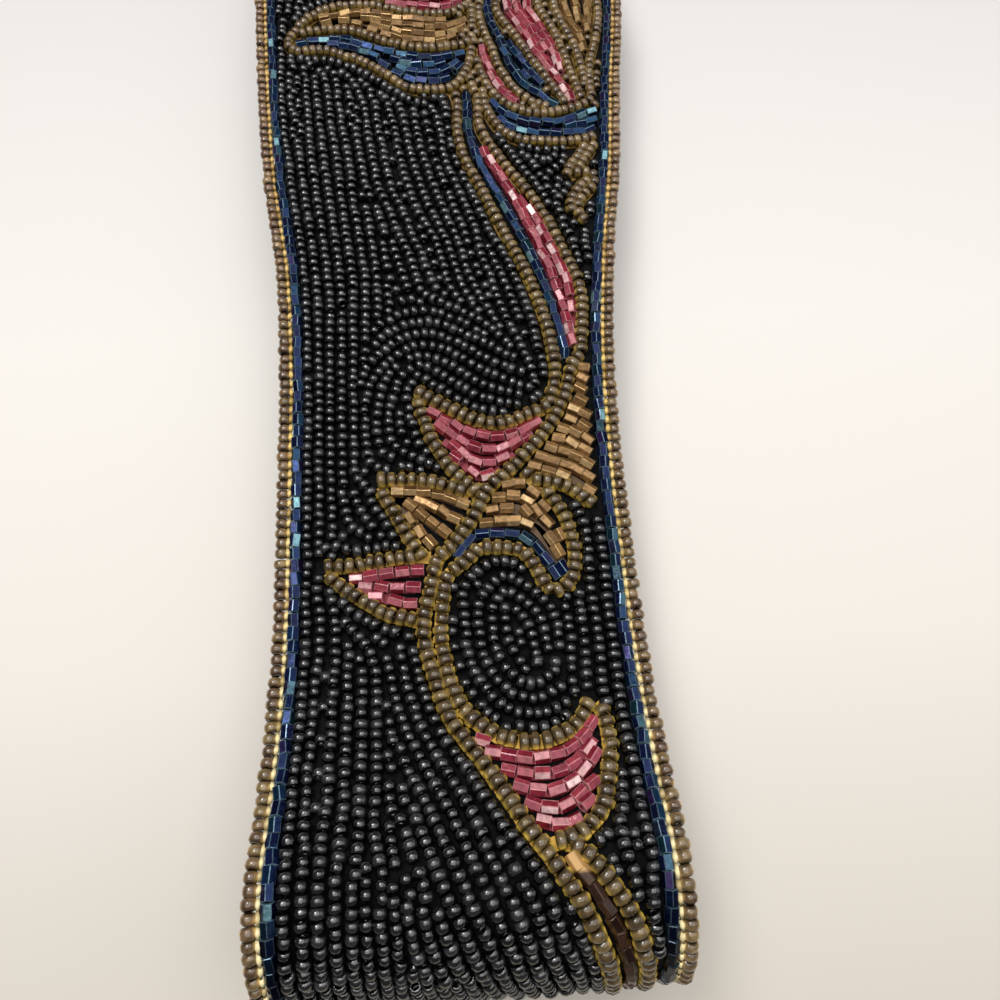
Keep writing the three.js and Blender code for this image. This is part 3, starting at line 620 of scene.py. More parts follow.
def turnedBy(turns):
    # rotation matrices for small turns about X, Y and Z, in radians
    cx, cy, cz = np.cos(turns).T
    sx, sy, sz = np.sin(turns).T
    rows = [
        [cy * cz, -cy * sz, sy],
        [cx * sz + sx * sy * cz, cx * cz - sx * sy * sz, -sx * cy],
        [sx * sz - cx * sy * cz, sx * cz + cx * sy * sz, cx * cy],
    ]
    return np.stack([np.stack(row, -1) for row in rows], -2)


def beadMesh(name, shapeName, spots, angles, height, sizes, turns, paint):
    # many beads joined into one mesh; spots are across and run, sizes are factors (length, width, width)
    points, faces, marks = units[shapeName]
    count = len(spots)
    base, along, normal = loopFrame(spots[:, 1])
    base = base + normal * np.broadcast_to(height, count)[:, None]
    base[:, 0] = spots[:, 0] - middleAcross
    acrossAxis = np.tile([1.0, 0, 0], (count, 1))
    thread = np.cos(angles)[:, None] * acrossAxis + np.sin(angles)[:, None] * along
    beside = np.cross(normal, thread)
    axes = np.stack([thread, beside, normal], -1) @ turnedBy(turns)
    local = points[None] * sizes[:, None, :]
    world = np.einsum("nij,nkj->nki", axes, local) + base[:, None]

    mesh = bpy.data.meshes.new(name)
    perBead = len(points)
    allFaces = (faces[None] + (np.arange(count) * perBead)[:, None, None]).reshape(-1, 4)
    mesh.vertices.add(count * perBead)
    mesh.vertices.foreach_set("co", (world * mm).ravel())
    mesh.loops.add(allFaces.size)
    mesh.loops.foreach_set("vertex_index", allFaces.ravel().astype(np.int32))
    mesh.polygons.add(len(allFaces))
    mesh.polygons.foreach_set("loop_start", np.arange(0, allFaces.size, 4, dtype=np.int32))
    smooth = np.full(len(allFaces), beadShapes[shapeName]["smooth"])
    mesh.polygons.foreach_set("use_smooth", smooth)
    mesh.update(calc_edges=True)

    # a tone and a hue for each bead, how near a corner is to the flank and the end, and marks on the faces
    end, flank = (np.abs(points[:, k]) / np.abs(points[:, k]).max() for k in (0, 1))
    layers = [("tone", "POINT", np.repeat(chance.random(count), perBead)),
              ("hue", "POINT", np.repeat(chance.random(count), perBead)),
              ("flank", "POINT", np.tile(flank, count)), ("end", "POINT", np.tile(end, count))]
    layers += [(label, "FACE", np.tile(values, count)) for label, values in marks.items()]
    for label, domain, values in layers:
        layer = mesh.attributes.new(label, "FLOAT", domain)
        layer.data.foreach_set("value", values.astype(np.float32))
    mesh.materials.append(paint)
    piece = bpy.data.objects.new(name, mesh)
    bpy.context.collection.objects.link(piece)
    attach(piece, "root")
    return piece


sizeRange = (0.82, 1.18)


def jittered(count, size=0.05, turn=0.12, roll=0.0):
    # bead to bead differences in size and lie
    sizes = 1 + chance.normal(0, size, (count, 3))
    sizes[:, 2] = sizes[:, 1]
    turns = chance.normal(0, turn, (count, 3))
    turns[:, 0] = chance.uniform(-roll, roll, count)
    return np.clip(sizes, *sizeRange), turns


# finishes
def blackGlass():
    paint, tree, surface = newPaint("blackGlass", **{"Specular IOR Level": 0.9, "IOR": 1.6})
    colour = ramp(tree, attribute(tree, "tone"), [(0, (0.001, 0.001, 0.0013)),
                                                  (0.7, (0.005, 0.0047, 0.006)),
                                                  (1, (0.022, 0.0215, 0.024))])
    tree.links.new(colour, surface.inputs["Base Color"])
    rough = tree.nodes.new("ShaderNodeMapRange")
    rough.inputs["To Min"].default_value = 0.13
    rough.inputs["To Max"].default_value = 0.29
    tree.links.new(attribute(tree, "hue"), rough.inputs["Value"])
    tree.links.new(rough.outputs["Result"], surface.inputs["Roughness"])
    bumped(tree, surface, objectNoise(tree, 1300), 0.00009)
    return paint


def amberGlass(name, core, body, flank):
    # clear glass that looks brown over the dark felt, with painted light: golden at its sides, brightest
    # near the belt's near end, and painted shade at its ends where the beads meet
    paint, tree, surface = newPaint(name, **{"Roughness": 0.1, "Specular IOR Level": 0.8})
    # painted light: each bead's sides are coloured golden, as light coming through the glass would make
    # them
    flankLightShare = ramp(tree, attribute(tree, "flank"), [(0.6, (0, 0, 0)), (0.8, (0.28, 0.28, 0.28)),
                                                 (0.94, (0.9, 0.9, 0.9)), (1, (1, 1, 1))])
    paintedFlankLight = ramp(tree, nearEnd(tree), [(0, flank), (0.5, [0.8 * c for c in flank]),
                                             (1, [0.36 * c for c in flank])])
    heart = mixed(tree, attribute(tree, "hue"), (*core, 1), (*body, 1))
    # painted shade: darker towards each bead's ends, where it meets its neighbours
    paintedEndShade = ramp(tree, attribute(tree, "end"), [(0.45, (1, 1, 1)), (1, (0.35, 0.33, 0.30))])
    paler = ramp(tree, nearEnd(tree), [(0, (1, 1, 1)), (0.6, (1.1, 1.1, 1.15)), (1, (1.5, 1.45, 1.65))])
    heart = times(tree, heart, paler)
    colour = mixed(tree, flankLightShare, times(tree, heart, paintedEndShade), paintedFlankLight)
    tint = ramp(tree, attribute(tree, "tone"), [(0, (0.68, 0.68, 0.70)), (1, (1, 1, 1))])
    depth = ramp(tree, objectNoise(tree, 800, 3), [(0.36, (0.55, 0.53, 0.50)), (0.66, (1.25, 1.22, 1.15))])
    shade = times(tree, tint, depth)
    tree.links.new(times(tree, colour, shade), surface.inputs["Base Color"])
    bumped(tree, surface, objectNoise(tree, 1200), 0.00008)
    return paint


def paintedGlintGlass():
    # painted light: the golden glint of light coming through the edging glass, bright where the belt
    # spreads at its near end, browner farther up
    paint, tree, surface = newPaint("paintedGlintPaint", **{"Roughness": 0.25})
    colour = ramp(tree, nearEnd(tree), [(0, (1.0, 0.86, 0.48)), (0.5, (0.95, 0.68, 0.22)),
                                        (1, (0.75, 0.50, 0.18))])
    tint = ramp(tree, attribute(tree, "tone"), [(0, (0.45, 0.4, 0.3)), (0.3, (0.8, 0.75, 0.66)),
                                                (0.6, (1, 1, 1))])
    tree.links.new(times(tree, colour, tint), surface.inputs["Base Color"])
    return paint


def paintedThrownLight(name, near, far):
    # painted light: the colour that light through the glass throws on what lies under it
    paint, tree, surface = newPaint(name, **{"Roughness": 0.6})
    tree.links.new(ramp(tree, nearEnd(tree), [(0, near), (1, far)]), surface.inputs["Base Color"])
    return paint


def cutGlass(name, tones, pale, edge, metal, rough, gloss, paintedShadeAtBend=False):
    # faceted glass: a tone for each bead, then painted light: alternate facets paler as a painted sheen,
    # and painted glints on the cut edges and ends
    paint, tree, surface = newPaint(name, **{"Metallic": metal, "Roughness": rough,
                                             "Specular IOR Level": gloss})
    body = ramp(tree, attribute(tree, "hue"), tones)
    # painted sheen: alternate facets lighter, as if they caught the light
    paintedSheen = ramp(tree, attribute(tree, "tone"), pale)
    facets = mixed(tree, attribute(tree, "facet"), body, paintedSheen)
    # painted glints: the chamfers and end faces take a bright edge colour
    paintedEdgeGlints = mixed(tree, attribute(tree, "rim"), facets, (*edge, 1))
    streaks = ramp(tree, objectNoise(tree, 1100, 3), [(0.35, (0.62, 0.62, 0.62)), (0.62, (1, 1, 1))])
    finish = times(tree, paintedEdgeGlints, streaks)
    if paintedShadeAtBend:
        # painted shade: the beads go dark round the bend, where they turn away from the light
        bend = ramp(tree, alongBelt(tree, *places["bend"]), [(0, (0.1, 0.1, 0.12)), (1, (1, 1, 1))])
        finish = times(tree, finish, bend)
    tree.links.new(finish, surface.inputs["Base Color"])
    bumped(tree, surface, objectNoise(tree, 900, 3), 0.00006)
    return paint


def deepGlass():
    # dark brown beads round the bend, golden where the row starts above it
    paint = cutGlass("deepBronzeGlass", [(0, (0.016, 0.006, 0.004)), (1, (0.05, 0.022, 0.013))],
                     [(0, (0.022, 0.009, 0.006)), (1, (0.07, 0.033, 0.018))],
                     (0.09, 0.05, 0.03), 0.2, 0.22, 0.3)
    tree = paint.node_tree
    surface = tree.nodes["Principled BSDF"]
    shade = surface.inputs["Base Color"].links[0].from_socket
    rowStart = alongBelt(tree, *places["deepRowStart"])
    tree.links.new(mixed(tree, rowStart, shade, (0.55, 0.33, 0.13, 1)), surface.inputs["Base Color"])
    return paint


paints = {
    "black": blackGlass(),
    # the last colour of each is the painted golden light at the beads' sides
    "amber": amberGlass("amberGlass", (0.10, 0.064, 0.030), (0.21, 0.148, 0.060), (1.0, 0.70, 0.12)),
    "edging": amberGlass("edgingGlass", (0.17, 0.10, 0.056), (0.28, 0.195, 0.088), (0.85, 0.55, 0.18)),
    # painted light: the golden glint inside the edging
    "pale": paintedGlintGlass(),
    "amberPaintedLight": paintedThrownLight("amberGlow", (0.78, 0.46, 0.06), (0.28, 0.16, 0.035)),
    "rosePaintedLight": paintedThrownLight("roseGlow", (0.26, 0.02, 0.04), (0.26, 0.02, 0.04)),
    "bronzeBed": paintedThrownLight("bronzeGlow", (0.10, 0.05, 0.016), (0.10, 0.05, 0.016)),
    "blue": cutGlass("blueIrisGlass", [(0, (0.005, 0.007, 0.030)), (0.3, (0.010, 0.014, 0.070)),
                                       (0.5, (0.007, 0.021, 0.075)), (0.68, (0.008, 0.036, 0.046)),
                                       (0.85, (0.035, 0.014, 0.080)), (1, (0.012, 0.050, 0.15))],
                     [(0, (0.005, 0.008, 0.045)), (0.6, (0.010, 0.026, 0.095)),
                      (0.88, (0.015, 0.06, 0.13)), (1, (0.24, 0.46, 0.52))],
                     (0.27, 0.42, 0.52), 0.5, 0.16, 0.2, paintedShadeAtBend=True),
    "pink": cutGlass("roseLinedGlass", [(0, (0.17, 0.010, 0.02)), (0.6, (0.27, 0.022, 0.042)),
                                        (1, (0.40, 0.055, 0.08))],
                     [(0, (0.28, 0.03, 0.055)), (0.5, (0.42, 0.085, 0.115)), (0.8, (0.70, 0.31, 0.33)),
                      (1, (0.96, 0.70, 0.69))],
                     (0.78, 0.34, 0.36), 0.08, 0.16, 0.4),
    "bronze": cutGlass("bronzeGlass", [(0, (0.11, 0.052, 0.017)), (0.5, (0.27, 0.145, 0.053)),
                                       (1, (0.46, 0.27, 0.11))],
                       [(0, (0.22, 0.120, 0.046)), (0.6, (0.41, 0.24, 0.10)), (1, (0.70, 0.48, 0.24))],
                       (0.60, 0.40, 0.17), 0.4, 0.24, 0.3),
    "deep": deepGlass(),
    "gold": cutGlass("goldGlass", [(0, (0.075, 0.032, 0.009)), (0.5, (0.17, 0.085, 0.028)),
                                   (1, (0.33, 0.18, 0.065))],
                     [(0, (0.13, 0.065, 0.022)), (0.6, (0.26, 0.145, 0.055)), (1, (0.60, 0.40, 0.17))],
                     (0.60, 0.40, 0.17), 0.4, 0.22, 0.3),
}
print("finishes ready")

# felt backing and its closing tab
felt = {
    "top": -2.1,
    "thickness": 2.0,
    "inset": 2.9,
    "stationsAcross": 10,
    "stationsAlong": 300,
    "fuzz": 0.09,
    "upperLayer": (0, 0, 0.018),
    "tabInset": 6.0,
    "tabLength": 44.0,
    "tabBevel": 0.45,
    "tabCuts": 3,
}


def feltCloth():
    paint, tree, surface = newPaint("blackFelt", **{"Roughness": 0.95, "Sheen Weight": 0.04,
                                                    "Specular IOR Level": 0.1})
    colour = ramp(tree, objectNoise(tree, 900, 6), [(0.3, (0.003, 0.003, 0.0035)),
                                                    (0.7, (0.010, 0.010, 0.011))])
    tree.links.new(colour, surface.inputs["Base Color"])
    bumped(tree, surface, objectNoise(tree, 2600, 5), 0.00025)
    return paint


feltPaint = feltCloth()


def makeFelt():
    shape = bmesh.new()
    bmesh.ops.create_grid(shape, x_segments=felt["stationsAcross"], y_segments=felt["stationsAlong"],
                          size=1)
    share = np.array([v.co[:2] for v in shape.verts])
    run = share[:, 1] * loopEnd
    left = edgeAt(-1, run) + felt["inset"]
    right = edgeAt(1, run) - felt["inset"]
    across = left + (right - left) * (share[:, 0] + 1) / 2
    height = felt["top"] - felt["fuzz"] * chance.random(len(run))
    for vert, spot in zip(shape.verts, placed(across, run, height)):
        vert.co = spot
    bmesh.ops.recalc_face_normals(shape, faces=shape.faces[:])
    # the wall grows inwards from the faces' outer side, which is up in the upper layer
    target = Vector(felt["upperLayer"])
    middle = min(shape.faces, key=lambda face: (face.calc_center_median() - target).length)
    if middle.normal.z < 0:
        bmesh.ops.reverse_faces(shape, faces=shape.faces[:])
    bmesh.ops.solidify(shape, geom=shape.faces[:], thickness=felt["thickness"] * mm)
    bmesh.ops.recalc_face_normals(shape, faces=shape.faces[:])
    for face in shape.faces:
        face.smooth = True
    band = finished("feltBand", shape, feltPaint)
    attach(band, "root")
    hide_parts("felt_band")
    return band


def makeTab():
    low, high = (Vector(corner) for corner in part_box("closing_tab"))
    shape = bmesh.new()
    bmesh.ops.create_cube(shape, size=1)
    bmesh.ops.scale(shape, vec=high - low, verts=shape.verts[:])
    bmesh.ops.translate(shape, vec=(high + low) / 2, verts=shape.verts[:])
    bmesh.ops.bevel(shape, geom=shape.edges[:], offset=felt["tabBevel"] * mm, affect="EDGES", segments=3,
                    profile=0.5, material=-1)
    bmesh.ops.subdivide_edges(shape, edges=shape.edges[:], cuts=felt["tabCuts"], use_grid_fill=True)
    for face in shape.faces:
        face.smooth = True
    tab = finished("closingTab", shape, feltPaint)
    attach(tab, "root")
    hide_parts("closing_tab")
    return tab


feltBand = makeFelt()
closingTab = makeTab()
bandRuns = np.linspace(-loopEnd, loopEnd, 800)
bandWidths = edgeAt(1, bandRuns) - edgeAt(-1, bandRuns) - 2 * felt["inset"]
print("felt ready")

# borders: amber beads over the edge, inside them a row of small beads that carries a painted golden glint,
# then a row of blue cut beads
border = {
    "edgingInset": 0.85,
    "edgingHeight": -1.25,
    "edgingPitch": 1.97,
    "glintInset": 2.2,
    "glintHeight": -0.8,
    "glintPitch": 1.97,
    "glintLength": 1.08,
    "glintSize": 0.38,
    "blueInset": 3.5,
    "blueHeight": -1.15,
    "bluePitch": 2.5,
    "nearFrom": -262.0,
    "nearTo": 30.0,
    "stations": 1800,
    "edgingSway": (0.10, 0.05),
    "edgingLift": 0.08,
    "thinnedAlong": [-150, -60],
    "thinnedShare": [1.0, 0.9],
    "blueShare": (0.82, 0.97),
    "blueSway": (0.07, 0),
    "blueLift": 0.07,
}


def edgeLine(side, inset):
    run = np.linspace(-loopEnd, loopEnd, border["stations"])
    return np.stack([edgeAt(side, run) - side * inset, run], -1)


def nearAndRest(spots, angles):
    # the beads that the photo shows, which are made finer, and the rest
    near = (spots[:, 1] > border["nearFrom"]) & (spots[:, 1] < border["nearTo"])
    return [("", spots[near], angles[near]), ("Back", spots[~near], angles[~near])]


def makeBorders():
    for label, side in (("Left", -1), ("Right", 1)):
        line = edgeLine(side, border["edgingInset"])
        for part, spots, angles in nearAndRest(*strung(line, border["edgingPitch"])):
            count = len(spots)
            sizes, turns = jittered(count, size=0.05, turn=0.11)
            spots = spots + chance.normal(0, border["edgingSway"], spots.shape)
            sizes[:, 1:] *= np.interp(spots[:, 1], border["thinnedAlong"], border["thinnedShare"])[:, None]
            height = border["edgingHeight"] + chance.normal(0, border["edgingLift"], count)
            unit = "plainAmber" if part else "amber"
            edging = beadMesh(f"amberEdging{label}{part}", unit, spots, angles, height, sizes, turns,
                              paints["edging"])
            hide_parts(f"amber_edging_{label.lower()}")

        spots, angles = strung(edgeLine(side, border["glintInset"]), border["glintPitch"])
        sizes, turns = jittered(len(spots), size=0.08, turn=0.08)
        sizes *= [border["glintLength"], border["glintSize"], border["glintSize"]]
        glint = beadMesh(f"paintedGlints{label}", "plainAmber", spots, angles, border["glintHeight"],
                         sizes, turns, paints["pale"])

        line = edgeLine(side, border["blueInset"])
        for part, spots, angles in nearAndRest(*strung(line, border["bluePitch"])):
            count = len(spots)
            sizes, turns = jittered(count, size=0.04, turn=0.07, roll=0.5)
            sizes[:, 0] *= chance.uniform(*border["blueShare"], count)
            spots = spots + chance.normal(0, border["blueSway"], spots.shape)
            height = border["blueHeight"] + chance.normal(0, border["blueLift"], count)
            unit = "plainCut" if part else "cut"
            row = beadMesh(f"blueBorder{label}{part}", unit, spots, angles, height, sizes, turns,
                           paints["blue"])
            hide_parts(f"blue_border_{label.lower()}")


makeBorders()
print("borders ready")

# painted light under the glass: strips just above the felt, coloured as the light that the glass throws on
# them
strips = {"top": -1.75, "thickness": 0.4, "step": 1.6, "amberHalf": 1.2, "cutHalf": 1.0, "cutBack": 3,
          "fewest": 4}


def makeStrips(name, lines, half, paint):
    shape = bmesh.new()
    for line in lines:
        line = line[strips["cutBack"] : -strips["cutBack"]]
        if len(line) < strips["fewest"]:
            continue
        middles = evenly(line, max(int(lineLength(line) / strips["step"]), 1) + 1)
        step = np.gradient(middles, axis=0)
        beside = np.stack([-step[:, 1], step[:, 0]], -1) / np.hypot(*step.T)[:, None] * half
        sides = []
        for edge in (middles - beside, middles + beside):
            corners = [shape.verts.new(spot) for spot in placed(*edge.T, strips["top"])]
            sides += [shape.edges.new(pair) for pair in zip(corners, corners[1:])]
        bmesh.ops.bridge_loops(shape, edges=sides)
    bmesh.ops.recalc_face_normals(shape, faces=shape.faces[:])
    bmesh.ops.solidify(shape, geom=shape.faces[:], thickness=strips["thickness"] * mm)
    bmesh.ops.recalc_face_normals(shape, faces=shape.faces[:])
    piece = finished(name, shape, paint)
    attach(piece, "root")


# outlines of amber beads
outline = {
    "pitch": 1.95,
    "flowerPitch": 1.7,
    "flowerFrom": 176,
    "closest": 1.45,
    "height": -0.95,
    "lift": 0.08,
    "spread": 0.06,
    "smallerAlong": [-110, -50],
    "widths": [1.2, 0.92],
    "heights": [1.08, 0.9],
}


def amberSize(run):
    # the amber beads are smaller towards the centre front: their width and height
    return np.stack([np.interp(run, outline["smallerAlong"], outline[label])
                     for label in ("widths", "heights")], -1)


def makeOutlines():
    allSpots, allAngles = [], []
    taken = np.zeros((0, 2))
    for line in amberLines.values():
        inFlower = line[:, 1].mean() > outline["flowerFrom"] - belt["frontHalf"]
        spots, angles = strung(line, outline["flowerPitch"] if inFlower else outline["pitch"])
        clear = gapTo(spots, taken) > outline["closest"]
        spots, angles = spots[clear], angles[clear]
        allSpots.append(spots)
        allAngles.append(angles)
        taken = np.vstack([taken, spots])
    spots = np.vstack(allSpots)
    angles = np.concatenate(allAngles)
    count = len(spots)
    spots = spots + chance.normal(0, outline["spread"], spots.shape)
    sizes, turns = jittered(count, size=0.05, turn=0.12)
    sizes[:, 1:] *= amberSize(spots[:, 1])
    height = outline["height"] + chance.normal(0, outline["lift"], count)
    piece = beadMesh("amberOutline", "amber", spots, angles, height, sizes, turns, paints["amber"])
    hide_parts("amber_outline")
    makeStrips("amberGlow", amberLines.values(), strips["amberHalf"], paints["amberPaintedLight"])
    print("amber outline beads:", count)
    return spots, angles


amberLines = {name: smoothLine(points) for name, points in amberChart.items()}
amberSpots, amberAngles = makeOutlines()

# coloured fields of cut beads
cutRows = {
    "pitch": 2.72,
    "rowGap": 2.15,
    "height": -1.12,
    "lift": 0.1,
    "spread": 0.06,
    "threadClear": 1.5,
    "besideAmber": 1.85,
    "endsClear": 1.5,
    "besideRow": 1.66,
    "besideEdge": 5.45,
    "halfBead": 0.9,
    "halfFilling": 0.85,
    "fillingReach": 3.6,
    "reach": 5.0,
    "extraRows": 2,
    "fewestPoints": 5,
}
fieldSlots = {"gold": "bronze_beads", "deep": "bronze_beads", "bronze": "bronze_beads",
              "blue": "blue_beads", "pink": "pink_beads"}
amberPoints = np.vstack([line[::2] for line in amberLines.values()])

# raster of the flat strap, in mm, and the walls that the outlines and borders make in it
raster = {"cell": 0.5, "left": -46.0, "width": 100, "margin": 2, "growTurns": 6, "borderWall": 5.2,
          "amberWall": 1.3}


class StrapGrid:
    # cells of the flat strap, across and along it, for quick tests
    def __init__(self):
        self.cell = raster["cell"]
        self.left = raster["left"]
        self.low = -loopHalf - raster["margin"]
        self.shape = (int(raster["width"] / self.cell),
                      int((2 * loopHalf + 2 * raster["margin"]) / self.cell))
        self.x = self.left + (np.arange(self.shape[0]) + 0.5) * self.cell
        self.run = self.low + (np.arange(self.shape[1]) + 0.5) * self.cell

    def index(self, spot):
        # the cell that a spot is in
        i = int((spot[0] - self.left) / self.cell)
        j = int((spot[1] - self.low) / self.cell)
        return min(max(i, 0), self.shape[0] - 1), min(max(j, 0), self.shape[1] - 1)

    def read(self, mask, spots):
        # what a mask says at many spots
        i = np.clip(((spots[:, 0] - self.left) / self.cell).astype(int), 0, self.shape[0] - 1)
        j = np.clip(((spots[:, 1] - self.low) / self.cell).astype(int), 0, self.shape[1] - 1)
        return mask[i, j]

    def stamp(self, mask, spots, radius):
        # marks the cells round each spot
        reach = int(radius / self.cell) + 1
        for spot in spots:
            i, j = self.index(spot)
            i0, i1 = max(i - reach, 0), i + reach + 1
            j0, j1 = max(j - reach, 0), j + reach + 1
            dx = self.x[i0:i1, None] - spot[0]
            dy = self.run[None, j0:j1] - spot[1]
            mask[i0:i1, j0:j1] |= dx * dx + dy * dy < radius * radius
        return mask

    def spread(self, seeds, walls):
        # cells reached from the seeds without crossing a wall
        inside = seeds & ~walls
        size = 0
        while inside.sum() != size:
            size = inside.sum()
            for _ in range(raster["growTurns"]):
                grown = inside.copy()
                grown[1:] |= inside[:-1]
                grown[:-1] |= inside[1:]
                grown[:, 1:] |= inside[:, :-1]
                grown[:, :-1] |= inside[:, 1:]
                inside = grown & ~walls
        return inside


grid = StrapGrid()
leftEdge = edgeAt(-1, grid.run)
rightEdge = edgeAt(1, grid.run)
motifWalls = grid.x[:, None] < leftEdge + raster["borderWall"]
motifWalls |= grid.x[:, None] > rightEdge - raster["borderWall"]
grid.stamp(motifWalls, amberPoints, raster["amberWall"])


def extended(line, reach):
    # the line carried straight on at both ends
    head = line[0] - line[2]
    tail = line[-1] - line[-3]
    head = head / math.hypot(*head)
    tail = tail / math.hypot(*tail)
    marks = np.arange(1, int(reach / stringing["step"]) + 1)[:, None] * stringing["step"]
    return np.vstack([(line[0] + head * marks)[::-1], line, line[-1] + tail * marks])


def fieldLines(field):
    # the charted rows, then rows past the first and the last
    first = smoothLine(field["first"])
    if field["rows"] == 1:
        return [first], []
    last = smoothLine(field["last"])
    count = max(len(first), len(last))
    first = evenly(first, count)
    last = evenly(last, count)
    step = (last - first) / (field["rows"] - 1)
    past = step / max(np.hypot(*step.T).mean(), 0.1) * cutRows["rowGap"]
    charted = [first + step * k for k in range(field["rows"])]
    extra = [last + past * k for k in range(1, cutRows["extraRows"] + 1)]
    extra += [first - past * k for k in range(1, cutRows["extraRows"] + 1)]
    return charted, extra


def clearStretches(line, region):
    # the parts of a line with room for beads
    room = grid.read(region, line) & (gapTo(line, amberPoints) > cutRows["threadClear"])
    room &= line[:, 0] < edgeAt(1, line[:, 1]) - cutRows["besideEdge"]
    bounds = np.flatnonzero(np.diff(np.concatenate([[0], room.astype(int), [0]])))
    return [line[i:j] for i, j in zip(bounds[::2], bounds[1::2]) if j - i >= cutRows["fewestPoints"]]


def roomFor(spots, angles, halfBead, bodies):
    # half of each bead along its row, the gap to the beads around it, and whether it clears them
    half = np.stack([np.cos(angles), np.sin(angles)], -1) * halfBead
    clear = np.minimum.reduce([gapTo(spots + half * k, amberPoints) for k in (-1, 1)])
    room = np.minimum.reduce([gapTo(spots + half * k, bodies) for k in (-1, 0, 1)])
    return half, room, (clear > cutRows["endsClear"]) & (room > cutRows["besideRow"])


def fillGaps(rows, region, bodies):
    # more beads where the rows leave room for one, each turned like its nearest neighbour
    beads = np.vstack(rows)
    cells = np.argwhere(region)
    spots = np.column_stack([grid.x[cells[:, 0]], grid.run[cells[:, 1]]])
    near = gapTo(spots, beads[:, :2]) < cutRows["fillingReach"]
    near &= spots[:, 0] < edgeAt(1, spots[:, 1]) - cutRows["besideEdge"]
    spots = spots[near & (gapTo(spots, amberPoints) > cutRows["besideAmber"])]
    while len(spots):
        angles = beads[apart(spots, beads[:, :2]).argmin(1), 2]
        half, room, fits = roomFor(spots, angles, cutRows["halfFilling"], bodies)
        spots, angles, half, room = spots[fits], angles[fits], half[fits], room[fits]
        if not len(spots):
            break
        best = room.argmin()
        bead = np.array([[*spots[best], angles[best]]])
        rows.append(bead)
        beads = np.vstack([beads, bead])
        bodies = np.vstack([bodies, spots[best] - half[best], spots[best], spots[best] + half[best]])
    return bodies


flowerFill = {"outside": [(-20, 160), (30, 150), (34, 176)], "left": 8.0, "from": 183.5,
              "besideAmber": 1.62, "besideCut": 1.75, "size": 0.84}


def fillFlower(bodies):
    # small amber beads in the gaps between the rows of the flower
    seeds = np.zeros(grid.shape, dtype=bool)
    for across, along in flowerFill["outside"]:
        seeds[grid.index((across, along - belt["frontHalf"]))] = True
    taken = grid.spread(seeds, motifWalls) | (grid.x[:, None] > rightEdge - cutRows["besideEdge"])
    taken |= grid.x[:, None] < flowerFill["left"]
    taken |= grid.run[None] < flowerFill["from"] - belt["frontHalf"]
    grid.stamp(taken, amberSpots, flowerFill["besideAmber"])
    grid.stamp(taken, bodies, flowerFill["besideCut"])
    spots = []
    for i, j in np.argwhere(~taken):
        if not taken[i, j]:
            spots.append((grid.x[i], grid.run[j]))
            grid.stamp(taken, spots[-1:], flowerFill["besideAmber"])
    spots = np.array(spots)
    angles = amberAngles[apart(spots, amberSpots).argmin(1)]
    sizes, turns = jittered(len(spots), size=0.05, turn=0.12)
    sizes *= flowerFill["size"]
    piece = beadMesh("amberFilling", "amber", spots, angles, outline["height"], sizes, turns,
                     paints["amber"])
    print("amber filling beads:", len(spots))


def pieceName(node):
    # blue_leaf_field is shown by blueLeafField
    first, *others = node.split("_")
    return first + "".join(word.capitalize() for word in others)


def makeFields():
    regions, lines, kept = {}, {}, {name: [] for name in fieldChart}
    stretches = {colour: [] for colour in fieldSlots}
    everyRow = []
    for name, field in fieldChart.items():
        lines[name] = fieldLines(field)
        seeds = np.zeros(grid.shape, dtype=bool)
        for line in lines[name][0]:
            for spot in line:
                seeds[grid.index(spot)] = True
        regions[name] = grid.spread(seeds, motifWalls)
        everyRow += lines[name][0]
    bodies = np.zeros((0, 2))
    for extra in (0, 1):
        for name in fieldChart:
            for line in lines[name][extra]:
                for stretch in clearStretches(extended(line, cutRows["reach"]), regions[name]):
                    spots, angles = strung(stretch, cutRows["pitch"])
                    if not len(spots):
                        continue
                    half, _, keep = roomFor(spots, angles, cutRows["halfBead"], bodies)
                    keep &= gapTo(spots, amberPoints) > cutRows["besideAmber"]
                    spots, angles, half = spots[keep], angles[keep], half[keep]
                    if len(spots) and not extra:
                        stretches[fieldChart[name]["colour"]].append(stretch)
                    kept[name].append(np.column_stack([spots, angles]))
                    bodies = np.vstack([bodies, spots - half, spots, spots + half])
    for name in fieldChart:
        bodies = fillGaps(kept[name], regions[name], bodies)
    for name, field in fieldChart.items():
        beads = np.vstack(kept[name])
        count = len(beads)
        sizes, turns = jittered(count, size=0.04, turn=0.07, roll=0.5)
        spots = beads[:, :2] + chance.normal(0, cutRows["spread"], (count, 2))
        height = cutRows["height"] + chance.normal(0, cutRows["lift"], count)
        piece = beadMesh(pieceName(name), "cut", spots, beads[:, 2], height, sizes, turns,
                         paints[field["colour"]])
        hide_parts(name)
        print(name, "beads:", count)
    makeStrips("roseGlow", stretches["pink"], strips["cutHalf"], paints["rosePaintedLight"])
    makeStrips("bronzeGlow", stretches["bronze"] + stretches["gold"], strips["cutHalf"],
               paints["bronzeBed"])
    fillFlower(bodies)
    return everyRow, np.logical_or.reduce(list(regions.values()))


fieldRowLines, motifRegion = makeFields()
print("coloured fields ready")

# ground of black beads, in rows that follow the outlines and the edges
ground = {
    "gapAlong": [0, 60, 120, 180],
    "rowGap": [2.34, 2.5, 2.66, 2.78],
    "plainGap": 2.5,
    "closest": 0.8,
    "step": 0.6,
    "pitch": 1.84,
    "height": -1.05,
    "edgeInset": 5.6,
    "besideAmber": 2.2,
    "besideRow": 2.1,
    "besideBead": 1.78,
    "besideOutline": 2.5,
    "shortest": 1.6,
    "pastEnd": 0.5,
    "endClear": 0.8,
    "edgeSlack": 0.25,
    "spread": 0.09,
}

# how strongly outlines, strokes and edges steer the rows, how far, and which of their points count
steering = {"outline": 1.0, "stroke": 1.2, "edge": 1.3, "reach": 2.0, "everyPoint": 6, "everyEdgePoint": 5,
            "coarse": 2, "block": 60, "blockReach": 70}

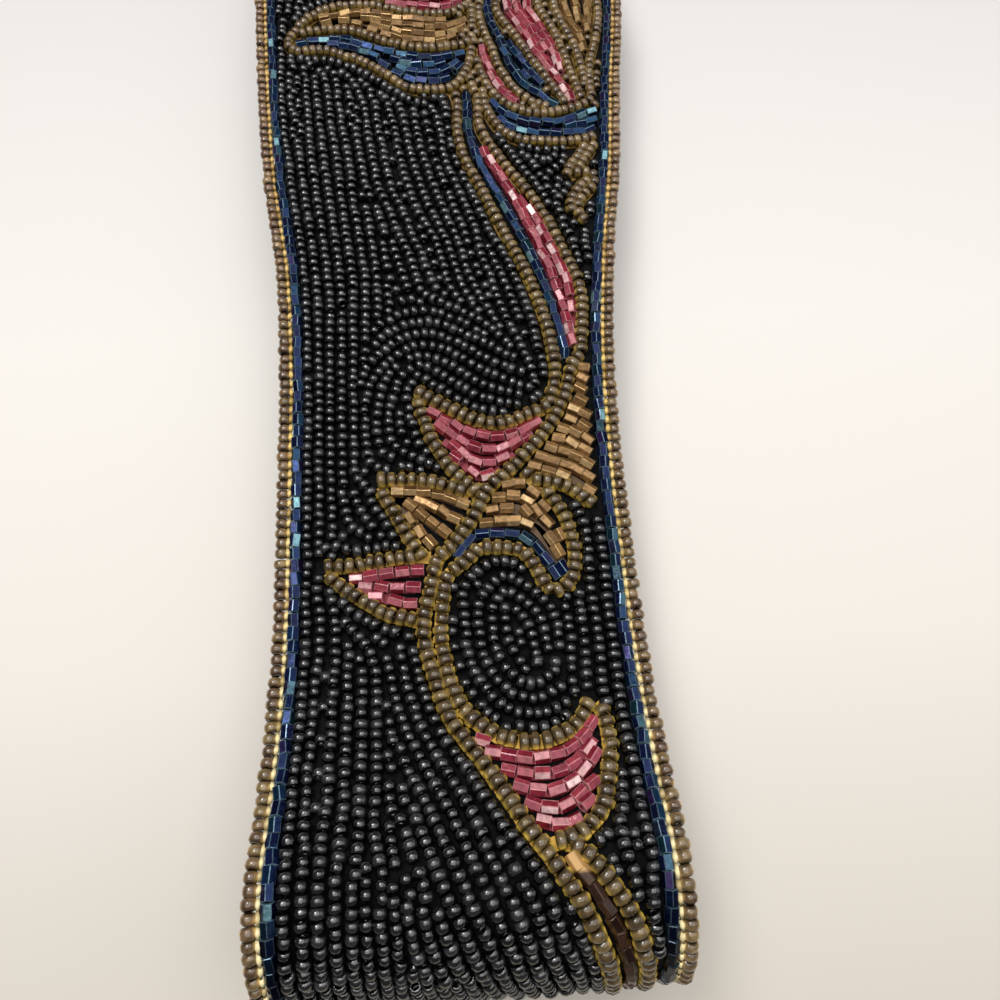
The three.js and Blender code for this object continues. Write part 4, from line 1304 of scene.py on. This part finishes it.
# strokes that steer the rows where the outlines alone don't, in chart mm
guideStrokes = [
    [(-14, 126), (-9, 130.5), (-3, 131.8), (3, 129), (9, 124), (15, 121)],
    [(-12, 120), (-9.5, 124.5), (-5, 126.5), (1, 123.5), (7, 118.5), (13, 116.8)],
    [(-24, 200), (-22, 180), (-20, 160)],
    [(-10, 190), (-8, 175), (-3, 160)],
    [(0, 185), (3, 170), (8, 150)],
    [(-20, 140), (-20, 120), (-20, 105)],
    [(6, 78), (9, 81), (13, 78)],
    [(2, 74), (2, 66), (6, 58), (12, 55), (17, 57)],
    [(26, 74), (26, 60), (26, 45)],
    [(-20, 60), (-20, 40), (-20, 20)],
    [(-6, 50), (0, 38), (6, 24), (10, 8)],
]


def directionField():
    # doubled angles, blended from the nearest outlines, edges and strokes
    spots, angles, weights = [], [], []
    every, everyEdge = steering["everyPoint"], steering["everyEdgePoint"]
    sources = [(line[::every], steering["outline"]) for line in amberLines.values()]
    sources += [(smoothLine(stroke)[::every], steering["stroke"]) for stroke in guideStrokes]
    sources += [(edgeLine(side, ground["edgeInset"])[::everyEdge], steering["edge"]) for side in (-1, 1)]
    for line, weight in sources:
        step = np.gradient(line, axis=0)
        spots.append(line)
        angles.append(np.arctan2(step[:, 1], step[:, 0]))
        weights.append(np.full(len(line), weight))
    spots = np.vstack(spots)
    angles = np.concatenate(angles)
    weights = np.concatenate(weights)
    coarse, size = steering["coarse"], steering["block"]
    xs, runs = grid.x[::coarse], grid.run[::coarse]
    field = np.zeros((len(xs), len(runs), 2))
    reach = steering["reach"] ** 2
    for first in range(0, len(runs), size):
        block = runs[first : first + size]
        near = np.abs(spots[:, 1] - block.mean()) < steering["blockReach"]
        dx = xs[:, None, None] - spots[near, 0]
        dy = block[None, :, None] - spots[near, 1]
        share = weights[near] / (dx * dx + dy * dy + reach) ** 2
        field[:, first : first + size, 0] = (share * np.cos(2 * angles[near])).sum(-1)
        field[:, first : first + size, 1] = (share * np.sin(2 * angles[near])).sum(-1)
    return np.repeat(np.repeat(field, coarse, 0), coarse, 1)[: grid.shape[0], : grid.shape[1]]


def rowGapAt(run):
    # rows are farther apart where the belt is wider
    tip = belt["frontHalf"] - np.abs(run)
    return np.where(tip > 0, np.interp(tip, ground["gapAlong"], ground["rowGap"]), ground["plainGap"])


# where rows start, at the centre front, along the edges, beside the outlines and beside other rows
filling = {"bin": 3, "sameRow": 9, "longest": 2400, "firstShare": 0.93, "nextShare": 0.95, "every": 3,
           "edgeStarts": range(5, 1795, 40), "centreFront": 900, "outlineStarts": slice(4, -4, 5)}


class RowFiller:
    # lays evenly spaced rows along the direction field
    def __init__(self, free, field):
        self.free = free
        self.field = field
        self.bins = {}
        self.rows = []

    def key(self, spot):
        return int(spot[0] // filling["bin"]), int(spot[1] // filling["bin"])

    def nearest(self, spot, skip=-1, skipFrom=0):
        # the gap to the nearest row, without the last few points of the row itself
        bx, by = self.key(spot)
        best = farAway
        for i in (bx - 1, bx, bx + 1):
            for j in (by - 1, by, by + 1):
                for x, y, row, order in self.bins.get((i, j), ()):
                    if row != skip or abs(order - skipFrom) >= filling["sameRow"]:
                        best = min(best, math.hypot(x - spot[0], y - spot[1]))
        return best

    def isFree(self, spot):
        return bool(self.free[grid.index(spot)])

    def direction(self, spot, like):
        # which way the rows run at a spot, of the two ways the one nearer to a given one
        c, s = self.field[grid.index(spot)]
        angle = 0.5 * math.atan2(s, c)
        step = (math.cos(angle), math.sin(angle))
        if step[0] * like[0] + step[1] * like[1] < 0:
            return (-step[0], -step[1])
        return step

    def walk(self, start, heading, rowNumber, sign):
        # one end of a row, as far as it has room
        spots = []
        at = start
        order = 0
        while len(spots) < filling["longest"]:
            step = self.direction(at, heading)
            middle = (at[0] + step[0] * ground["step"] / 2, at[1] + step[1] * ground["step"] / 2)
            heading = self.direction(middle, step)
            at = (at[0] + heading[0] * ground["step"], at[1] + heading[1] * ground["step"])
            order += sign
            gap = self.nearest(at, rowNumber, order)
            if not self.isFree(at) or gap < ground["closest"] * rowGapAt(at[1]):
                break
            self.bins.setdefault(self.key(at), []).append((at[0], at[1], rowNumber, order))
            spots.append(at)
        return spots

    def addRow(self, start):
        rowNumber = len(self.rows)
        like = self.direction(start, (0.0, 1.0))
        self.bins.setdefault(self.key(start), []).append((start[0], start[1], rowNumber, 0))
        ahead = self.walk(start, like, rowNumber, 1)
        back = self.walk(start, (-like[0], -like[1]), rowNumber, -1)
        row = back[::-1] + [start] + ahead
        self.rows.append(row)
        return row

    def fill(self, starts):
        # rows from the starts, then more rows beside each row
        queue = []
        for start in starts:
            if self.isFree(start) and self.nearest(start) > filling["firstShare"] * rowGapAt(start[1]):
                queue.append(self.addRow(start))
        while queue:
            row = queue.pop(0)
            for x, y in row[:: filling["every"]]:
                step = self.direction((x, y), (0.0, 1.0))
                gap = float(rowGapAt(y))
                for side in (-gap, gap):
                    start = (x - step[1] * side, y + step[0] * side)
                    if self.isFree(start) and self.nearest(start) > filling["nextShare"] * gap:
                        queue.append(self.addRow(start))


def groundRows():
    inset = ground["edgeInset"] - ground["edgeSlack"]
    free = (grid.x[:, None] > leftEdge + inset) & (grid.x[:, None] < rightEdge - inset)
    free &= np.abs(grid.run)[None] < loopEnd - ground["endClear"]
    free &= ~motifRegion
    taken = grid.stamp(np.zeros(grid.shape, dtype=bool), amberPoints, ground["besideAmber"])
    free &= ~grid.stamp(taken, np.vstack(fieldRowLines), ground["besideRow"])
    print("free ground cells:", int(free.sum()))
    filler = RowFiller(free, directionField())
    edges = [edgeLine(side, ground["edgeInset"]) for side in (-1, 1)]
    starts = [tuple(edge[filling["centreFront"]]) for edge in edges]
    starts += [tuple(edge[k]) for edge in edges for k in filling["edgeStarts"]]
    for line in amberLines.values():
        step = np.gradient(line, axis=0)
        step = step / np.hypot(*step.T)[:, None]
        for side in (-ground["besideOutline"], ground["besideOutline"]):
            hugging = line + np.stack([-step[:, 1], step[:, 0]], -1) * side
            starts += [tuple(spot) for spot in hugging[filling["outlineStarts"]]]
    filler.fill(starts)
    return filler, free


def lonelyBeads(spots, filler, free):
    # single beads in the gaps that the rows leave
    taken = grid.stamp(~free, spots, ground["besideBead"])
    extra, angles = [], []
    for i, j in np.argwhere(~taken):
        if not taken[i, j]:
            spot = (grid.x[i], grid.run[j])
            step = filler.direction(spot, (0.0, 1.0))
            extra.append(spot)
            angles.append(math.atan2(step[1], step[0]))
            grid.stamp(taken, [spot], ground["besideBead"])
    print("single beads in gaps:", len(extra))
    return np.array(extra).reshape(-1, 2), np.array(angles)


# how far a bead looks sideways for the next row, and how rows are evened out
evening = {"block": 30, "blockReach": 3, "level": 1.1, "aside": 1.0, "reach": 3.6, "turns": 8, "smooth": 5,
           "share": 0.5, "farthest": 0.8, "widths": (0.92, 1.1), "borderAt": 3.3}


def sideGaps(spots, angles, fixed):
    # the distance from each bead to the next row on its left and on its right
    every = np.vstack([spots, fixed])
    left = np.full(len(spots), evening["reach"])
    right = left.copy()
    size, more = evening["block"], evening["blockReach"]
    for low in np.arange(-loopHalf, loopHalf, size):
        mine = np.flatnonzero((spots[:, 1] >= low) & (spots[:, 1] < low + size))
        near = every[(every[:, 1] > low - more) & (every[:, 1] < low + size + more)]
        to = near[None] - spots[mine][:, None]
        c, s = np.cos(angles[mine])[:, None], np.sin(angles[mine])[:, None]
        level = np.abs(to[..., 0] * c + to[..., 1] * s) < evening["level"]
        across = to[..., 1] * c - to[..., 0] * s
        left[mine] = np.where(level & (across > evening["aside"]), across, evening["reach"]).min(1)
        right[mine] = np.where(level & (across < -evening["aside"]), -across, evening["reach"]).min(1)
    return left, right


def evened(spots, angles, owner, fixed):
    # beads moved sideways until their row lies midway between its neighbours, and how wide each may be
    start = spots.copy()
    side = np.stack([-np.sin(angles), np.cos(angles)], -1)
    sameRow = owner[1:] == owner[:-1]

    def alongRow(values):
        for _ in range(evening["smooth"]):
            before = np.where(np.append(False, sameRow), np.roll(values, 1), values)
            after = np.where(np.append(sameRow, False), np.roll(values, -1), values)
            values = (before + values + after) / 3
        return values

    for _ in range(evening["turns"]):
        left, right = sideGaps(spots, angles, fixed)
        spots = spots + side * (alongRow((left - right) / 2) * evening["share"])[:, None]
        moved = spots - start
        far = np.hypot(*moved.T)
        spots = start + moved * np.minimum(1, evening["farthest"] / np.maximum(far, 1e-6))[:, None]
    left, right = sideGaps(spots, angles, fixed)
    return spots, np.clip(alongRow((left + right) / 2) / ground["plainGap"], *evening["widths"])


# how the black beads are parted into pieces, as places along and across the belt
parting = {"viewTo": 12, "stemFrom": -93, "stemTo": -48, "stemLeft": 13, "nearBend": -140, "farBack": 230}


def makeGround():
    filler, free = groundRows()
    spotsKept, anglesKept = [], []
    for row in filler.rows:
        line = np.array(row)
        if lineLength(line) < ground["shortest"]:
            spots, angles = line[len(line) // 2][None], np.array([math.pi / 2])
        else:
            spots, angles = strung(line, ground["pitch"], -ground["pastEnd"])
        spotsKept.append(spots)
        anglesKept.append(angles)
    spots = np.vstack(spotsKept)
    angles = np.concatenate(anglesKept)
    owner = np.repeat(np.arange(len(spotsKept)), [len(kept) for kept in spotsKept])
    extra, extraAngles = lonelyBeads(spots, filler, free)
    spots = np.vstack([spots, extra])
    angles = np.concatenate([angles, extraAngles])
    owner = np.concatenate([owner, len(spotsKept) + np.arange(len(extra))])
    borders = [edgeLine(side, evening["borderAt"])[::3] for side in (-1, 1)]
    spots, widths = evened(spots, angles, owner, np.vstack([amberSpots, *fieldRowLines, *borders]))
    print("ground rows:", len(filler.rows), "beads:", len(spots))
    across, run = spots.T
    inView = (run > border["nearFrom"]) & (run < parting["viewTo"])
    stem = inView & (across > parting["stemLeft"]) & (run > parting["stemFrom"]) & (run < parting["stemTo"])
    front = run > parting["nearBend"]
    back = run >= parting["farBack"]
    groups = [
        ("blackBeadsNearFront", "seed", inView & ~stem & front, "black_beads_near"),
        ("blackBeadsNearBend", "seed", inView & ~stem & ~front, "black_beads_near"),
        ("blackBeadsStem", "seed", stem, "black_beads_stem"),
        ("blackBeadsNearBack", "plainSeed", ~inView & (run < 0), "black_beads_near"),
        ("blackBeadsFarFront", "plainSeed", ~inView & (run >= 0) & ~back, "black_beads_far"),
        ("blackBeadsFarBack", "plainSeed", ~inView & back, "black_beads_far"),
    ]
    for name, unit, chosen, node in groups:
        count = int(chosen.sum())
        where = spots[chosen] + chance.normal(0, ground["spread"], (count, 2))
        sizes, turns = jittered(count, size=0.055, turn=0.14)
        sizes[:, 1:] *= widths[chosen][:, None]
        height = ground["height"] + chance.normal(0, ground["spread"], count)
        piece = beadMesh(name, unit, where, angles[chosen], height, sizes, turns, paints["black"])
        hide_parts(node)
        print(name, "beads:", count, "triangles:", 2 * len(piece.data.polygons))


makeGround()
print("black ground ready")
